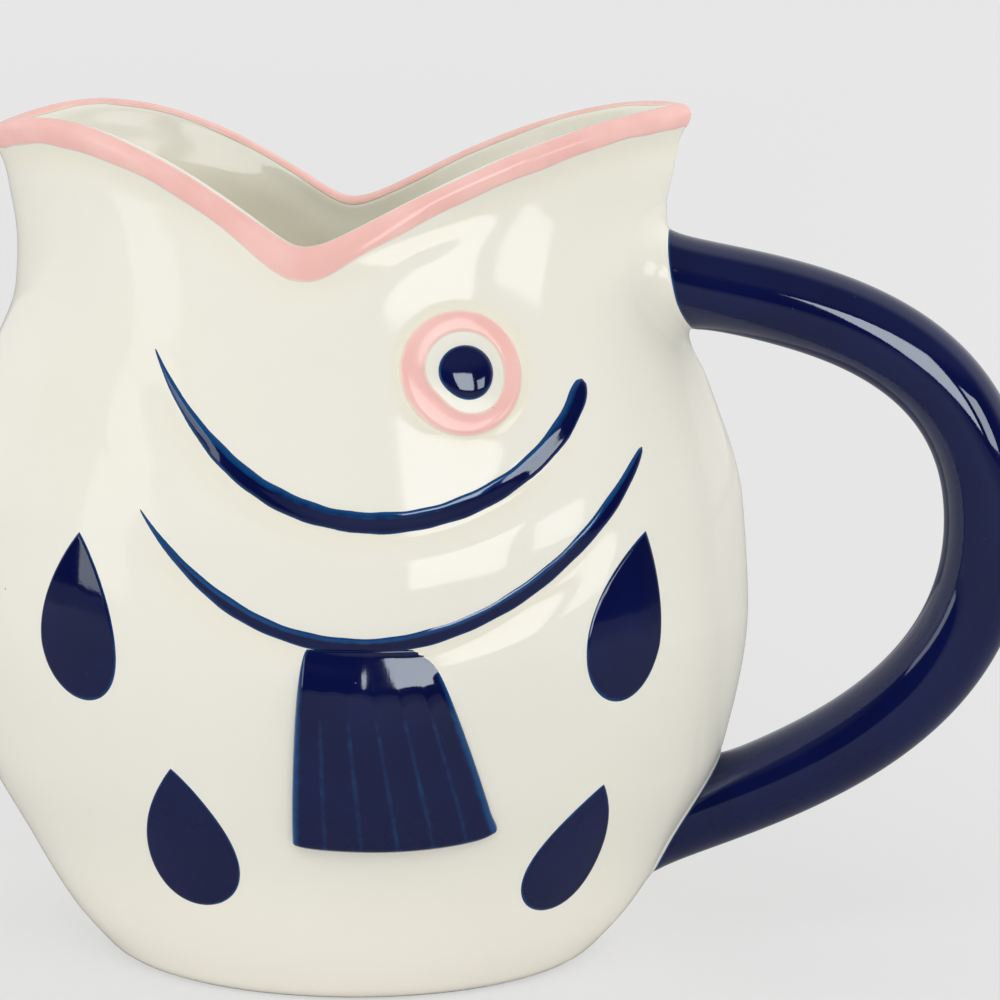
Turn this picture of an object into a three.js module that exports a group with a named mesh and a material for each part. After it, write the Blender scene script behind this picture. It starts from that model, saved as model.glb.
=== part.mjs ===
import * as THREE from 'three';

// Table jug in the form of a fish with its mouth open upwards: slip-cast earthenware, glazed.
// Millimetres. X runs from the pouring lip (-X) to the handle (+X), Z up from the foot.
// The left flank faces -Y and the right flank +Y, as the jug is held for pouring.

// Body, outside sizes: length along X, depth along Y, height of each section above the foot
const FOOT_LENGTH = 100.6;
const FOOT_DEPTH = 82.5;
const BELLY_LENGTH = 165;
const BELLY_DEPTH = 115.5;
const BELLY_HEIGHT = 73.5;
const NECK_LENGTH = 132.5;
const NECK_DEPTH = 73.2;
const NECK_HEIGHT = 148;
// The flanks lean in evenly up to their own neck, which is higher than the one seen from the side
const FLANK_NECK_HEIGHT = 160;
const MOUTH_LENGTH = 144.4;
const MOUTH_DEPTH = 73.2;
const MOUTH_HEIGHT = 177.5;
// The mouth leans towards the pouring lip, and its plan is drawn in towards both corners
const MOUTH_LEAN = 2.6;
const MOUTH_PINCH = 1.5;
// Shares of the way up and of the way out, from foot to belly and from belly to neck
const BELLY_RISE = [[0.14, 0.277], [0.34, 0.545], [0.62, 0.862]];
const SHOULDER_FALL = [[0.3, 0.054], [0.62, 0.452], [0.88, 0.96]];
const FLANK_FALL = [[0.25, 0.128], [0.57, 0.515], [0.86, 0.879]];

const WALL = 4.5;
const FLOOR = 5.5;
const FOOT_ROUND = 2.5;
const INNER_CORNER = 8;

// Rim seen from the side: a V-shaped notch between the pouring lip and the back lip
const NOTCH_HEIGHT = 152;
const NOTCH_OFFSET = -3.5;
const NOTCH_SOFTNESS = 0.083;
const BACK_LIP_HEIGHT = 176.5;
const BACK_LIP_BOW = 1.65;
const SPOUT_CREST_HEIGHT = 174.2;
const SPOUT_CREST_REACH = 57;
const SPOUT_TIP_HEIGHT = 170.3;
const SPOUT_BOW = 1.75;
const LIP_BAND_HEIGHT = 5.5;

// Handle: a round loop, its seats measured at the centre line
const HANDLE_THICKNESS = 17.6;
const HANDLE_TOP_HEIGHT = 141.8;
const HANDLE_BOTTOM_HEIGHT = 29.8;
const HANDLE_BOW_HEIGHT = 91.4;
const FINGER_ROOM = 39.5;
const HANDLE_TOP_LEAD = 13.5;
const HANDLE_TOP_ANGLE = -19.4;
const HANDLE_SHOULDER_PULL = 45.6;
const HANDLE_WAIST_PULL = 41.2;
const HANDLE_BOTTOM_LEAD = 15;
const HANDLE_BOTTOM_ANGLE = 25.1;
const HANDLE_SEAT = 1.4;
// How far up the handle the slant of its ends reaches, in handle thicknesses
const HANDLE_END_BLEND = 1.5;
// Slip fillet around a handle end: its reach past the handle, and its hollow, where 0 is a straight slope
const SLIP_FILLET = 3;
const SLIP_HOLLOW = 0.3;

// Eye, on the shoulder: a raised ring with a bead in it for the pupil.
// The white and the pupil sit off the ring's middle towards the handle
const EYE_X = 27.8;
const EYE_HEIGHT = 128.4;
const EYE_RING_WIDTH = 24.7;
const EYE_RING_HEIGHT = 25.1;
const EYE_RING_RELIEF = 1.3;
const EYE_WHITE_WIDTH = 15.3;
const EYE_WHITE_HEIGHT = 15.8;
const EYE_WHITE_SHIFT = 0.5;
const PUPIL_WIDTH = 10.9;
const PUPIL_HEIGHT = 10.8;
const PUPIL_RELIEF = 2.2;
const PUPIL_SHIFT = 0.7;

// Fin, a fluted plate under the gill line, narrower at the top and swept towards the handle.
// Its lower edge hangs in a bow and rises towards the handle
const FIN_X = 11.9;
const FIN_MIDDLE_HEIGHT = 56.1;
const FIN_HEIGHT = 39;
const FIN_TOP_WIDTH = 24.4;
const FIN_BOTTOM_WIDTH = 40.2;
const FIN_TOP_SHIFT = -0.8;
const FIN_SWEEP = 4.6;
const FIN_HEM = 2;
const FIN_HEM_RISE = 2.2;
// Below 1, most of the fin's flare is near its top
const FIN_FLARE = 0.7;
const FIN_RELIEF = 2;
const FIN_EDGE_SHARE = 0.4;
const FLUTE_COUNT = 6;
const FLUTE_DEPTH = 0.7;

// Brushed lines of cobalt glaze, each one cubic curve seen from the side: its front end, its back end,
// and the two points between them that pull it down into its bow
const JAW_FRONT_X = -32.8;
const JAW_FRONT_HEIGHT = 132;
const JAW_FRONT_PULL_X = -8.1;
const JAW_FRONT_PULL_HEIGHT = 83.1;
const JAW_BACK_PULL_X = 48.1;
const JAW_BACK_PULL_HEIGHT = 100.9;
const JAW_BACK_X = 50.3;
const JAW_BACK_HEIGHT = 125.9;
const JAW_LINE_WIDTH = 4.2;
const GILL_FRONT_X = -34.6;
const GILL_FRONT_HEIGHT = 102;
const GILL_FRONT_PULL_X = -2.1;
const GILL_FRONT_PULL_HEIGHT = 58.3;
const GILL_BACK_PULL_X = 49.9;
const GILL_BACK_PULL_HEIGHT = 80.6;
const GILL_BACK_X = 62.1;
const GILL_BACK_HEIGHT = 112;
const GILL_LINE_WIDTH = 3.3;
const LINE_TIP_WIDTH = 0.6;
// Shares of a line's length over which it fills out from its front tip and closes at its back end
const JAW_LINE_TAPER = [0.34, 0.05];
const GILL_LINE_TAPER = [0.26, 0.12];
const GLAZE_RELIEF = 0.6;
const GLAZE_EDGE_SHARE = 0.6;

// Painted scales: a drop with its tip up, four on each flank. Each has its middle seen from the side,
// its tilt towards the handle in degrees, and a bow that carries both its ends towards the handle
const UPPER_BACK_SCALE_X = 60.7;
const UPPER_BACK_SCALE_HEIGHT = 80.2;
const UPPER_BACK_SCALE_LENGTH = 34.8;
const UPPER_BACK_SCALE_WIDTH = 17.4;
const UPPER_BACK_SCALE_TILT = 16;
const UPPER_BACK_SCALE_BOW = 1.2;
const UPPER_FRONT_SCALE_X = -48.3;
const UPPER_FRONT_SCALE_HEIGHT = 79.4;
const UPPER_FRONT_SCALE_LENGTH = 34.1;
const UPPER_FRONT_SCALE_WIDTH = 18.9;
const UPPER_FRONT_SCALE_TILT = -4.8;
const UPPER_FRONT_SCALE_BOW = 0.9;
const LOWER_FRONT_SCALE_X = -26.2;
const LOWER_FRONT_SCALE_HEIGHT = 35.8;
const LOWER_FRONT_SCALE_LENGTH = 32;
const LOWER_FRONT_SCALE_WIDTH = 19.9;
const LOWER_FRONT_SCALE_TILT = -8;
const LOWER_FRONT_SCALE_BOW = 0.2;
const LOWER_BACK_SCALE_X = 49.8;
const LOWER_BACK_SCALE_HEIGHT = 32.3;
const LOWER_BACK_SCALE_LENGTH = 31.7;
const LOWER_BACK_SCALE_WIDTH = 16.2;
const LOWER_BACK_SCALE_TILT = 19.3;
const LOWER_BACK_SCALE_BOW = -0.4;
const SCALE_FULLNESS = 0.85;

// Clearance between a piece and what it is seated on, wider where the slip meets the curved neck
const SEAT_GAP = 0.3;
const SLIP_GAP = 0.45;

const BODY_SIDES = 64;
const WALL_ROWS = 32;
const INNER_ROWS = 14;
const HANDLE_SIDES = 20;
const HANDLE_STEPS = 28;
const LINE_STEPS = 26;
// Radii of the rings that fill a handle end, as shares of the handle's radius
const END_RINGS = [0.25, 0.6];

const cream = { color: 0xe6e4d6, roughness: 0.16, metalness: 0 };
const pink = { color: 0xefbab2, roughness: 0.2, metalness: 0 };
const cobalt = { color: 0x12173a, roughness: 0.12, metalness: 0 };

const degrees = THREE.MathUtils.degToRad;
const jug = new THREE.Group();

// Smooth curve through stations that never overshoots them
function smoothCurve(places, values) {
  const steps = places.slice(1).map((place, i) => place - places[i]);
  const slopes = steps.map((step, i) => (values[i + 1] - values[i]) / step);
  const tangents = places.map((_, i) => {
    if (i === 0) return slopes[0];
    if (i === steps.length) return slopes[i - 1];
    if (slopes[i - 1] * slopes[i] <= 0) return 0;
    const before = 2 * steps[i] + steps[i - 1];
    const after = steps[i] + 2 * steps[i - 1];
    return (before + after) / (before / slopes[i - 1] + after / slopes[i]);
  });
  return (place) => {
    let i = 0;
    while (i < steps.length - 1 && place > places[i + 1]) i += 1;
    const t = (place - places[i]) / steps[i];
    const rest = 1 - t;
    return values[i] * (1 + 2 * t) * rest * rest + steps[i] * tangents[i] * t * rest * rest
      + values[i + 1] * t * t * (3 - 2 * t) - steps[i] * tangents[i + 1] * t * t * rest;
  };
}

// Half size of the body at a height, from its four named sections
function bodyProfile(foot, belly, neck, mouth, neckHeight, fall) {
  const places = [0, ...BELLY_RISE.map(([up]) => up * BELLY_HEIGHT), BELLY_HEIGHT];
  const values = [foot, ...BELLY_RISE.map(([, out]) => foot + out * (belly - foot)), belly];
  fall.forEach(([up, out]) => {
    places.push(BELLY_HEIGHT + up * (neckHeight - BELLY_HEIGHT));
    values.push(belly + out * (neck - belly));
  });
  places.push(neckHeight, MOUTH_HEIGHT);
  values.push(neck, mouth);
  return smoothCurve(places, values.map((value) => value / 2));
}

const halfLength = bodyProfile(
  FOOT_LENGTH, BELLY_LENGTH, NECK_LENGTH, MOUTH_LENGTH, NECK_HEIGHT, SHOULDER_FALL);
const halfDepth = bodyProfile(
  FOOT_DEPTH, BELLY_DEPTH, NECK_DEPTH, MOUTH_DEPTH, FLANK_NECK_HEIGHT, FLANK_FALL);

function shareAboveBelly(height) {
  return Math.max(0, (height - BELLY_HEIGHT) / (MOUTH_HEIGHT - BELLY_HEIGHT));
}

const middle = (height) => -MOUTH_LEAN * shareAboveBelly(height);
const pinch = (height) => 1 + (MOUTH_PINCH - 1) * shareAboveBelly(height);
const backEdge = (height) => middle(height) + halfLength(height);

// Point of the body's plan at a height: angle 0 faces the handle, -90 degrees the left flank
function bodyPoint(angle, height, insetX = 0, insetY = insetX) {
  const side = Math.sin(angle);
  return new THREE.Vector3(
    middle(height) + (halfLength(height) - insetX) * Math.cos(angle),
    (halfDepth(height) - insetY) * Math.sign(side) * Math.abs(side) ** pinch(height),
    height,
  );
}

function bodyNormal(angle, height) {
  const turn = 0.01;
  const rise = 0.5;
  const around = bodyPoint(angle + turn, height).sub(bodyPoint(angle - turn, height));
  const up = bodyPoint(angle, height + rise).sub(bodyPoint(angle, height - rise));
  return around.cross(up).normalize();
}

// Point of the wall: share 0 is its outside and share 1 its inside, square to the slope
function wallPoint(angle, height, share) {
  const reach = 1;
  const slant = (half) => Math.hypot(1, (half(height + reach) - half(height - reach)) / (2 * reach));
  const thickness = share * WALL;
  return bodyPoint(angle, height, thickness * slant(halfLength), thickness * slant(halfDepth));
}

// Height of the rim over a place along X
function rimHeight(x) {
  const soften = (u) => (Math.hypot(u, NOTCH_SOFTNESS) - NOTCH_SOFTNESS)
    / (Math.hypot(1, NOTCH_SOFTNESS) - NOTCH_SOFTNESS);
  const climb = (u, bow) => 1 - (1 - soften(THREE.MathUtils.clamp(u, 0, 1))) ** bow;
  if (x > NOTCH_OFFSET) {
    const u = (x - NOTCH_OFFSET) / (MOUTH_LENGTH / 2 - MOUTH_LEAN - NOTCH_OFFSET);
    return NOTCH_HEIGHT + (BACK_LIP_HEIGHT - NOTCH_HEIGHT) * climb(u, BACK_LIP_BOW);
  }
  const u = (NOTCH_OFFSET - x) / (NOTCH_OFFSET + SPOUT_CREST_REACH);
  const tipReach = MOUTH_LENGTH / 2 + MOUTH_LEAN - SPOUT_CREST_REACH;
  const past = Math.max(0, (-SPOUT_CREST_REACH - x) / tipReach);
  return NOTCH_HEIGHT + (SPOUT_CREST_HEIGHT - NOTCH_HEIGHT) * climb(u, SPOUT_BOW)
    - (SPOUT_CREST_HEIGHT - SPOUT_TIP_HEIGHT) * past * past;
}

// Height of the rim at an angle around the body, where the body and the rim's side view meet
function rimAt(angle) {
  let height = (NOTCH_HEIGHT + BACK_LIP_HEIGHT) / 2;
  for (let pass = 0; pass < 30; pass += 1) {
    height = (height + rimHeight(bodyPoint(angle, height).x)) / 2;
  }
  return height;
}

// Closed solid from points and faces, turned so that its faces point out
function closedSolid(points, faces) {
  const volume = faces.reduce((sum, [a, b, c]) => (
    sum + points[a].dot(new THREE.Vector3().crossVectors(points[b], points[c]))), 0);
  const index = faces.flatMap(([a, b, c]) => (volume > 0 ? [a, b, c] : [a, c, b]));
  const geometry = new THREE.BufferGeometry();
  const numbers = points.flatMap((point) => point.toArray());
  geometry.setAttribute('position', new THREE.Float32BufferAttribute(numbers, 3));
  geometry.setIndex(index);
  geometry.computeVertexNormals();
  return geometry;
}

// Solid through closed rings: it ends in a point at both ends, or runs back into its first ring
function ringSolid(rings, ends = null) {
  const count = rings[0].length;
  const points = rings.flat();
  const faces = [];
  const bands = ends ? rings.length - 1 : rings.length;
  for (let row = 0; row < bands; row += 1) {
    const low = row * count;
    const high = ((row + 1) % rings.length) * count;
    for (let i = 0; i < count; i += 1) {
      const next = (i + 1) % count;
      faces.push([low + i, low + next, high + next], [low + i, high + next, high + i]);
    }
  }
  if (ends) {
    const first = points.push(ends[0]) - 1;
    const last = points.push(ends[1]) - 1;
    const top = (rings.length - 1) * count;
    for (let i = 0; i < count; i += 1) {
      const next = (i + 1) % count;
      faces.push([first, next, i], [last, top + i, top + next]);
    }
  }
  return closedSolid(points, faces);
}

// Solid between two grids of points, one over the other
function sheetSolid(top, bottom) {
  const rows = top.length;
  const columns = top[0].length;
  const points = [...top.flat(), ...bottom.flat()];
  const under = rows * columns;
  const faces = [];
  const quad = (a, b, c, d) => faces.push([a, b, c], [a, c, d]);
  for (let row = 0; row < rows - 1; row += 1) {
    for (let column = 0; column < columns - 1; column += 1) {
      const a = row * columns + column;
      quad(a, a + 1, a + columns + 1, a + columns);
      quad(under + a, under + a + columns, under + a + columns + 1, under + a + 1);
    }
    const left = row * columns;
    const right = left + columns - 1;
    quad(left, left + columns, under + left + columns, under + left);
    quad(right, under + right, under + right + columns, right + columns);
  }
  const far = (rows - 1) * columns;
  for (let column = 0; column < columns - 1; column += 1) {
    quad(column, under + column, under + column + 1, column + 1);
    quad(far + column, far + column + 1, under + far + column + 1, under + far + column);
  }
  return closedSolid(points, faces);
}

const circle = (sides) => Array.from({ length: sides }, (_, i) => (2 * Math.PI * i) / sides);

function add(name, geometry, finish) {
  const mesh = new THREE.Mesh(geometry, new THREE.MeshStandardMaterial(finish));
  mesh.name = name;
  jug.add(mesh);
}

function mirrored(geometry) {
  const copy = geometry.clone().scale(1, -1, 1);
  const index = copy.getIndex();
  for (let i = 0; i < index.count; i += 3) {
    const second = index.getX(i + 1);
    index.setX(i + 1, index.getX(i + 2));
    index.setX(i + 2, second);
  }
  copy.computeVertexNormals();
  return copy;
}

function addPair(name, geometry, finish) {
  add(`${name}_left`, geometry, finish);
  add(`${name}_right`, mirrored(geometry), finish);
}

// Hollow body, open at the top, from the foot up the outside and down the inside to the floor
function bodyGeometry() {
  const around = circle(BODY_SIDES);
  const tops = around.map((angle) => rimAt(angle) - LIP_BAND_HEIGHT - SEAT_GAP);
  const rings = [];
  for (let step = 0; step <= 2; step += 1) {
    const turn = (step / 2) * (Math.PI / 2);
    const inset = FOOT_ROUND * (1 - Math.sin(turn));
    rings.push(around.map((angle) => bodyPoint(angle, FOOT_ROUND * (1 - Math.cos(turn)), inset)));
  }
  for (let row = 1; row <= WALL_ROWS; row += 1) {
    rings.push(around.map((angle, i) => (
      bodyPoint(angle, FOOT_ROUND + ((tops[i] - FOOT_ROUND) * row) / WALL_ROWS))));
  }
  const lowest = FLOOR + INNER_CORNER;
  for (let row = 0; row <= INNER_ROWS; row += 1) {
    rings.push(around.map((angle, i) => (
      wallPoint(angle, tops[i] + ((lowest - tops[i]) * row) / INNER_ROWS, 1))));
  }
  for (let step = 1; step <= 2; step += 1) {
    const turn = (step / 2) * (Math.PI / 2);
    const height = lowest - INNER_CORNER * Math.sin(turn);
    const inset = INNER_CORNER * (1 - Math.cos(turn));
    rings.push(around.map((angle) => {
      const onWall = wallPoint(angle, lowest, 1);
      const shrink = 1 - inset / onWall.length();
      return new THREE.Vector3(onWall.x * shrink, onWall.y * shrink, height);
    }));
  }
  return ringSolid(rings, [new THREE.Vector3(0, 0, 0), new THREE.Vector3(0, 0, FLOOR)]);
}

// Rounded lip that caps the wall all the way round, over the clearance
function lipGeometry() {
  const radius = WALL / 2;
  const around = circle(BODY_SIDES);
  const section = [[0, -LIP_BAND_HEIGHT]];
  for (let step = 0; step <= 4; step += 1) {
    const turn = (step / 4) * Math.PI;
    section.push([(1 - Math.cos(turn)) / 2, radius * (Math.sin(turn) - 1)]);
  }
  section.push([1, -LIP_BAND_HEIGHT]);
  return ringSolid(section.map(([share, drop]) => (
    around.map((angle) => wallPoint(angle, rimAt(angle) + drop, share)))));
}

// Centre line of the handle: out from the neck, down past the fingers and back to the flank
function handlePath() {
  const reach = BELLY_LENGTH / 2 + FINGER_ROOM + HANDLE_THICKNESS / 2;
  const at = (x, z) => new THREE.Vector3(x, 0, z);
  const start = at(backEdge(HANDLE_TOP_HEIGHT) + HANDLE_SEAT, HANDLE_TOP_HEIGHT);
  const bow = at(reach, HANDLE_BOW_HEIGHT);
  const end = at(backEdge(HANDLE_BOTTOM_HEIGHT) + HANDLE_SEAT, HANDLE_BOTTOM_HEIGHT);
  const lead = (from, angle, length) => (
    at(from.x + Math.cos(degrees(angle)) * length, from.z + Math.sin(degrees(angle)) * length));
  const startLead = lead(start, HANDLE_TOP_ANGLE, HANDLE_TOP_LEAD);
  const endLead = lead(end, HANDLE_BOTTOM_ANGLE, HANDLE_BOTTOM_LEAD);
  const path = new THREE.CurvePath();
  path.add(new THREE.CubicBezierCurve3(start, startLead, at(reach, bow.z + HANDLE_SHOULDER_PULL), bow));
  path.add(new THREE.CubicBezierCurve3(bow, at(reach, bow.z - HANDLE_WAIST_PULL), endLead, end));
  return path;
}

// Place where a line meets a face that stands a given distance off the body's back
function meetBack(from, direction, faceX, offset) {
  const farthest = 40;
  let near = -farthest;
  let far = farthest;
  const point = new THREE.Vector3();
  for (let pass = 0; pass < 40; pass += 1) {
    const reach = (near + far) / 2;
    point.copy(direction).multiplyScalar(reach).add(from);
    if (point.x > faceX(point.y, point.z) + offset) far = reach;
    else near = reach;
  }
  return { point, reach: near };
}

const silhouetteX = (y, z) => backEdge(z);
const surfaceX = (y, z) => {
  const share = Math.min(1, (Math.abs(y) / halfDepth(z)) ** (2 / pinch(z)));
  return middle(z) + halfLength(z) * Math.sqrt(1 - share);
};

// One end of the handle: the direction out of the body and the circle square to it
function handleEnd(path, share) {
  const centre = path.getPointAt(share);
  const out = path.getTangentAt(share).multiplyScalar(share === 0 ? 1 : -1);
  const up = new THREE.Vector3(-out.z, 0, out.x);
  const rim = circle(HANDLE_SIDES).map((angle) => (
    up.clone().multiplyScalar(Math.cos(angle)).add(new THREE.Vector3(0, Math.sin(angle), 0))));
  return { centre, out, rim };
}

// Ring on a face behind a handle end, at a radius around the handle's centre line
function ringBehind(end, radius, faceX, offset) {
  return end.rim.map((spoke) => (
    meetBack(spoke.clone().multiplyScalar(radius).add(end.centre), end.out, faceX, offset).point));
}

function handleGeometry(path) {
  const radius = HANDLE_THICKNESS / 2;
  const blend = HANDLE_END_BLEND * HANDLE_THICKNESS;
  const length = path.getLength();
  const ends = [handleEnd(path, 0), handleEnd(path, 1)];
  const shifts = ends.map((end) => end.rim.map((spoke) => {
    const onTube = spoke.clone().multiplyScalar(radius).add(end.centre);
    return meetBack(onTube, end.out, silhouetteX, HANDLE_SEAT).reach;
  }));
  const tube = [];
  for (let step = 0; step <= HANDLE_STEPS; step += 1) {
    const share = step / HANDLE_STEPS;
    const centre = path.getPointAt(share);
    const tangent = path.getTangentAt(share);
    const up = new THREE.Vector3(-tangent.z, 0, tangent.x);
    const fades = [share, 1 - share].map((away) => Math.max(0, 1 - (away * length) / blend));
    tube.push(circle(HANDLE_SIDES).map((angle, i) => {
      const point = centre.clone().addScaledVector(up, radius * Math.cos(angle));
      point.y += radius * Math.sin(angle);
      const mirror = (HANDLE_SIDES / 2 - i + HANDLE_SIDES) % HANDLE_SIDES;
      point.addScaledVector(tangent, fades[0] * shifts[0][i]);
      return point.addScaledVector(tangent, -fades[1] * shifts[1][mirror]);
    }));
  }
  const caps = ends.map((end) => (
    END_RINGS.map((share) => ringBehind(end, radius * share, silhouetteX, HANDLE_SEAT))));
  const centres = ends.map((end) => meetBack(end.centre, end.out, silhouetteX, HANDLE_SEAT).point);
  const lastCap = caps[1].reverse().map((ring) => (
    ring.map((_, i) => ring[(HANDLE_SIDES / 2 - i + HANDLE_SIDES) % HANDLE_SIDES])));
  return ringSolid([...caps[0], ...tube, ...lastCap], centres);
}

// Slip that lutes one end of the handle to the body, drawn out to a fillet around it
function slipGeometry(end) {
  const radius = HANDLE_THICKNESS / 2;
  const front = HANDLE_SEAT - SEAT_GAP;
  const face = ringBehind(end, radius, silhouetteX, front);
  const edge = ringBehind(end, radius + SLIP_FILLET, surfaceX, SLIP_GAP);
  const back = ringBehind(end, radius, surfaceX, SLIP_GAP);
  const hollow = face.map((point, i) => {
    const halfway = point.clone().add(edge[i]).multiplyScalar(0.5);
    return halfway.lerp(back[i], SLIP_HOLLOW);
  });
  const fill = (faceX, offset) => END_RINGS.map((share) => ringBehind(end, radius * share, faceX, offset));
  const rings = [
    ...fill(silhouetteX, front), face, hollow, edge, back, ...fill(surfaceX, SLIP_GAP).reverse(),
  ];
  const centres = [[silhouetteX, front], [surfaceX, SLIP_GAP]].map(([faceX, offset]) => (
    meetBack(end.centre, end.out, faceX, offset).point));
  return ringSolid(rings, centres);
}

const leftAngle = (x, height) => (
  -Math.acos(THREE.MathUtils.clamp((x - middle(height)) / halfLength(height), -1, 1)));

// Flat patch laid on the left flank at a place seen from the side
function patchAt(x, height) {
  const angle = leftAngle(x, height);
  const origin = bodyPoint(angle, height);
  const normal = bodyNormal(angle, height);
  const across = new THREE.Vector3(0, 0, 1).cross(normal).normalize();
  const up = new THREE.Vector3().crossVectors(normal, across);
  return { origin, across, up };
}

// Nearby point dropped onto the body's outside, then lifted off it
function ontoBody(point, lift) {
  const side = (Math.abs(point.y) / halfDepth(point.z)) ** (1 / pinch(point.z));
  const angle = Math.atan2(Math.sign(point.y) * side, (point.x - middle(point.z)) / halfLength(point.z));
  return bodyPoint(angle, point.z).addScaledVector(bodyNormal(angle, point.z), lift);
}

function onPatch(patch, u, v, lift) {
  const flat = patch.origin.clone().addScaledVector(patch.across, u).addScaledVector(patch.up, v);
  return ontoBody(flat, lift);
}

const tilted = (u, v, angle) => {
  const turn = degrees(angle);
  return [u * Math.cos(turn) + v * Math.sin(turn), v * Math.cos(turn) - u * Math.sin(turn)];
};

// Raised ring around the eye, low at both edges and crowned between them
function eyeRingGeometry() {
  const patch = patchAt(EYE_X, EYE_HEIGHT);
  const section = [[0, 0], [0.1, 0.75], [0.5, 1], [0.88, 0.75], [1, 0], [0.5, 0]];
  return ringSolid(section.map(([out, rise]) => circle(36).map((angle) => {
    const width = THREE.MathUtils.lerp(EYE_WHITE_WIDTH, EYE_RING_WIDTH, out);
    const height = THREE.MathUtils.lerp(EYE_WHITE_HEIGHT, EYE_RING_HEIGHT, out);
    const u = EYE_WHITE_SHIFT * (1 - out) + (width / 2) * Math.cos(angle);
    return onPatch(patch, u, (height / 2) * Math.sin(angle), SEAT_GAP + EYE_RING_RELIEF * rise);
  })));
}

function pupilGeometry() {
  const patch = patchAt(EYE_X, EYE_HEIGHT);
  const section = [[1, 0], [0.96, 0.35], [0.8, 0.68], [0.45, 0.93]];
  const at = (out, angle, rise) => {
    const u = PUPIL_SHIFT + (PUPIL_WIDTH / 2) * out * Math.cos(angle);
    const v = (PUPIL_HEIGHT / 2) * out * Math.sin(angle);
    return onPatch(patch, u, v, SEAT_GAP + PUPIL_RELIEF * rise);
  };
  const rings = section.map(([out, rise]) => circle(24).map((angle) => at(out, angle, rise)));
  return ringSolid(rings, [at(0, 0, 0), at(0, 0, 1)]);
}

// Fluted fin: ridges run down it like rays, with a shallow hollow between each two
function finGeometry() {
  const patch = patchAt(FIN_X, FIN_MIDDLE_HEIGHT);
  const perFlute = 4;
  const columns = FLUTE_COUNT * perFlute;
  const rows = 8;
  const edgeShare = (place, last) => Math.min(1, FIN_EDGE_SHARE + Math.min(place, last - place) / 2);
  const top = [];
  const bottom = [];
  for (let row = 0; row <= rows; row += 1) {
    const down = row / rows;
    const width = FIN_TOP_WIDTH + (FIN_BOTTOM_WIDTH - FIN_TOP_WIDTH) * down ** FIN_FLARE;
    const shift = FIN_TOP_SHIFT + FIN_SWEEP * down;
    top.push([]);
    bottom.push([]);
    for (let column = 0; column <= columns; column += 1) {
      const across = column / columns;
      const hem = down * (FIN_HEM * Math.sin(Math.PI * across) - FIN_HEM_RISE * (across - 0.5));
      const u = shift + width * (across - 0.5);
      const v = FIN_HEIGHT * (0.5 - down) - hem;
      const flute = Math.abs(Math.sin(Math.PI * FLUTE_COUNT * across));
      const height = Math.min(edgeShare(row, rows), edgeShare(column, columns));
      const lift = height * (FIN_RELIEF - FLUTE_DEPTH * flute);
      top[row].push(onPatch(patch, u, v, SEAT_GAP + lift));
      bottom[row].push(onPatch(patch, u, v, SEAT_GAP));
    }
  }
  return sheetSolid(top, bottom);
}

// Brushed line: starts as a hair at the pouring lip's side and fills out to its full width
function lineGeometry(curve, width, [opening, closing]) {
  const fill = (share, length) => Math.sin((Math.PI / 2) * Math.min(1, share / length));
  const crown = [GLAZE_EDGE_SHARE, 1, GLAZE_EDGE_SHARE];
  const onFlank = (share) => {
    const seen = curve.getPointAt(share);
    return bodyPoint(leftAngle(seen.x, seen.z), seen.z);
  };
  const top = [];
  const bottom = [];
  for (let step = 0; step <= LINE_STEPS; step += 1) {
    const share = step / LINE_STEPS;
    const nudge = 0.005;
    const before = Math.max(0, share - nudge);
    const after = Math.min(1, share + nudge);
    const place = onFlank(share);
    const along = onFlank(after).sub(onFlank(before)).normalize();
    const normal = bodyNormal(leftAngle(place.x, place.z), place.z);
    const side = new THREE.Vector3().crossVectors(normal, along).normalize();
    const fullness = fill(share, opening) * fill(1 - share, closing);
    const half = (LINE_TIP_WIDTH + (width - LINE_TIP_WIDTH) * fullness) / 2;
    const columns = [-1, 0, 1].map((part) => place.clone().addScaledVector(side, part * half));
    top.push(columns.map((point, i) => ontoBody(point, SEAT_GAP + GLAZE_RELIEF * crown[i])));
    bottom.push(columns.map((point) => ontoBody(point, SEAT_GAP)));
  }
  return sheetSolid(top, bottom);
}

// Drop outline: a point at the top that swells to a round end, filled with glaze
function scaleGeometry(x, height, length, width, tilt, bow) {
  const patch = patchAt(x, height);
  const swell = (turn) => Math.sin(turn) * Math.abs(Math.sin(turn / 2)) ** SCALE_FULLNESS;
  const fullest = Math.max(...circle(360).slice(0, 180).map(swell));
  const outline = (turn) => [
    ((width / 2) * swell(turn)) / fullest + bow * Math.cos(turn) ** 2,
    (length / 2) * Math.cos(turn),
  ];
  const ring = (size, lift) => circle(28).map((turn) => {
    const [u, v] = outline(turn);
    return onPatch(patch, ...tilted(u * size, v * size, tilt), lift);
  });
  const top = SEAT_GAP + GLAZE_RELIEF;
  return ringSolid(
    [ring(0.5, SEAT_GAP), ring(1, SEAT_GAP), ring(0.95, top), ring(0.5, top)],
    [onPatch(patch, 0, 0, SEAT_GAP), onPatch(patch, 0, 0, top)]);
}

add('jug_body', bodyGeometry(), cream);
add('lip_band', lipGeometry(), pink);

const path = handlePath();
add('handle', handleGeometry(path), cobalt);
add('handle_joint_upper', slipGeometry(handleEnd(path, 0)), cream);
add('handle_joint_lower', slipGeometry(handleEnd(path, 1)), cream);

addPair('eye_ring', eyeRingGeometry(), pink);
addPair('pupil', pupilGeometry(), cobalt);
addPair('fin', finGeometry(), cobalt);

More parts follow.
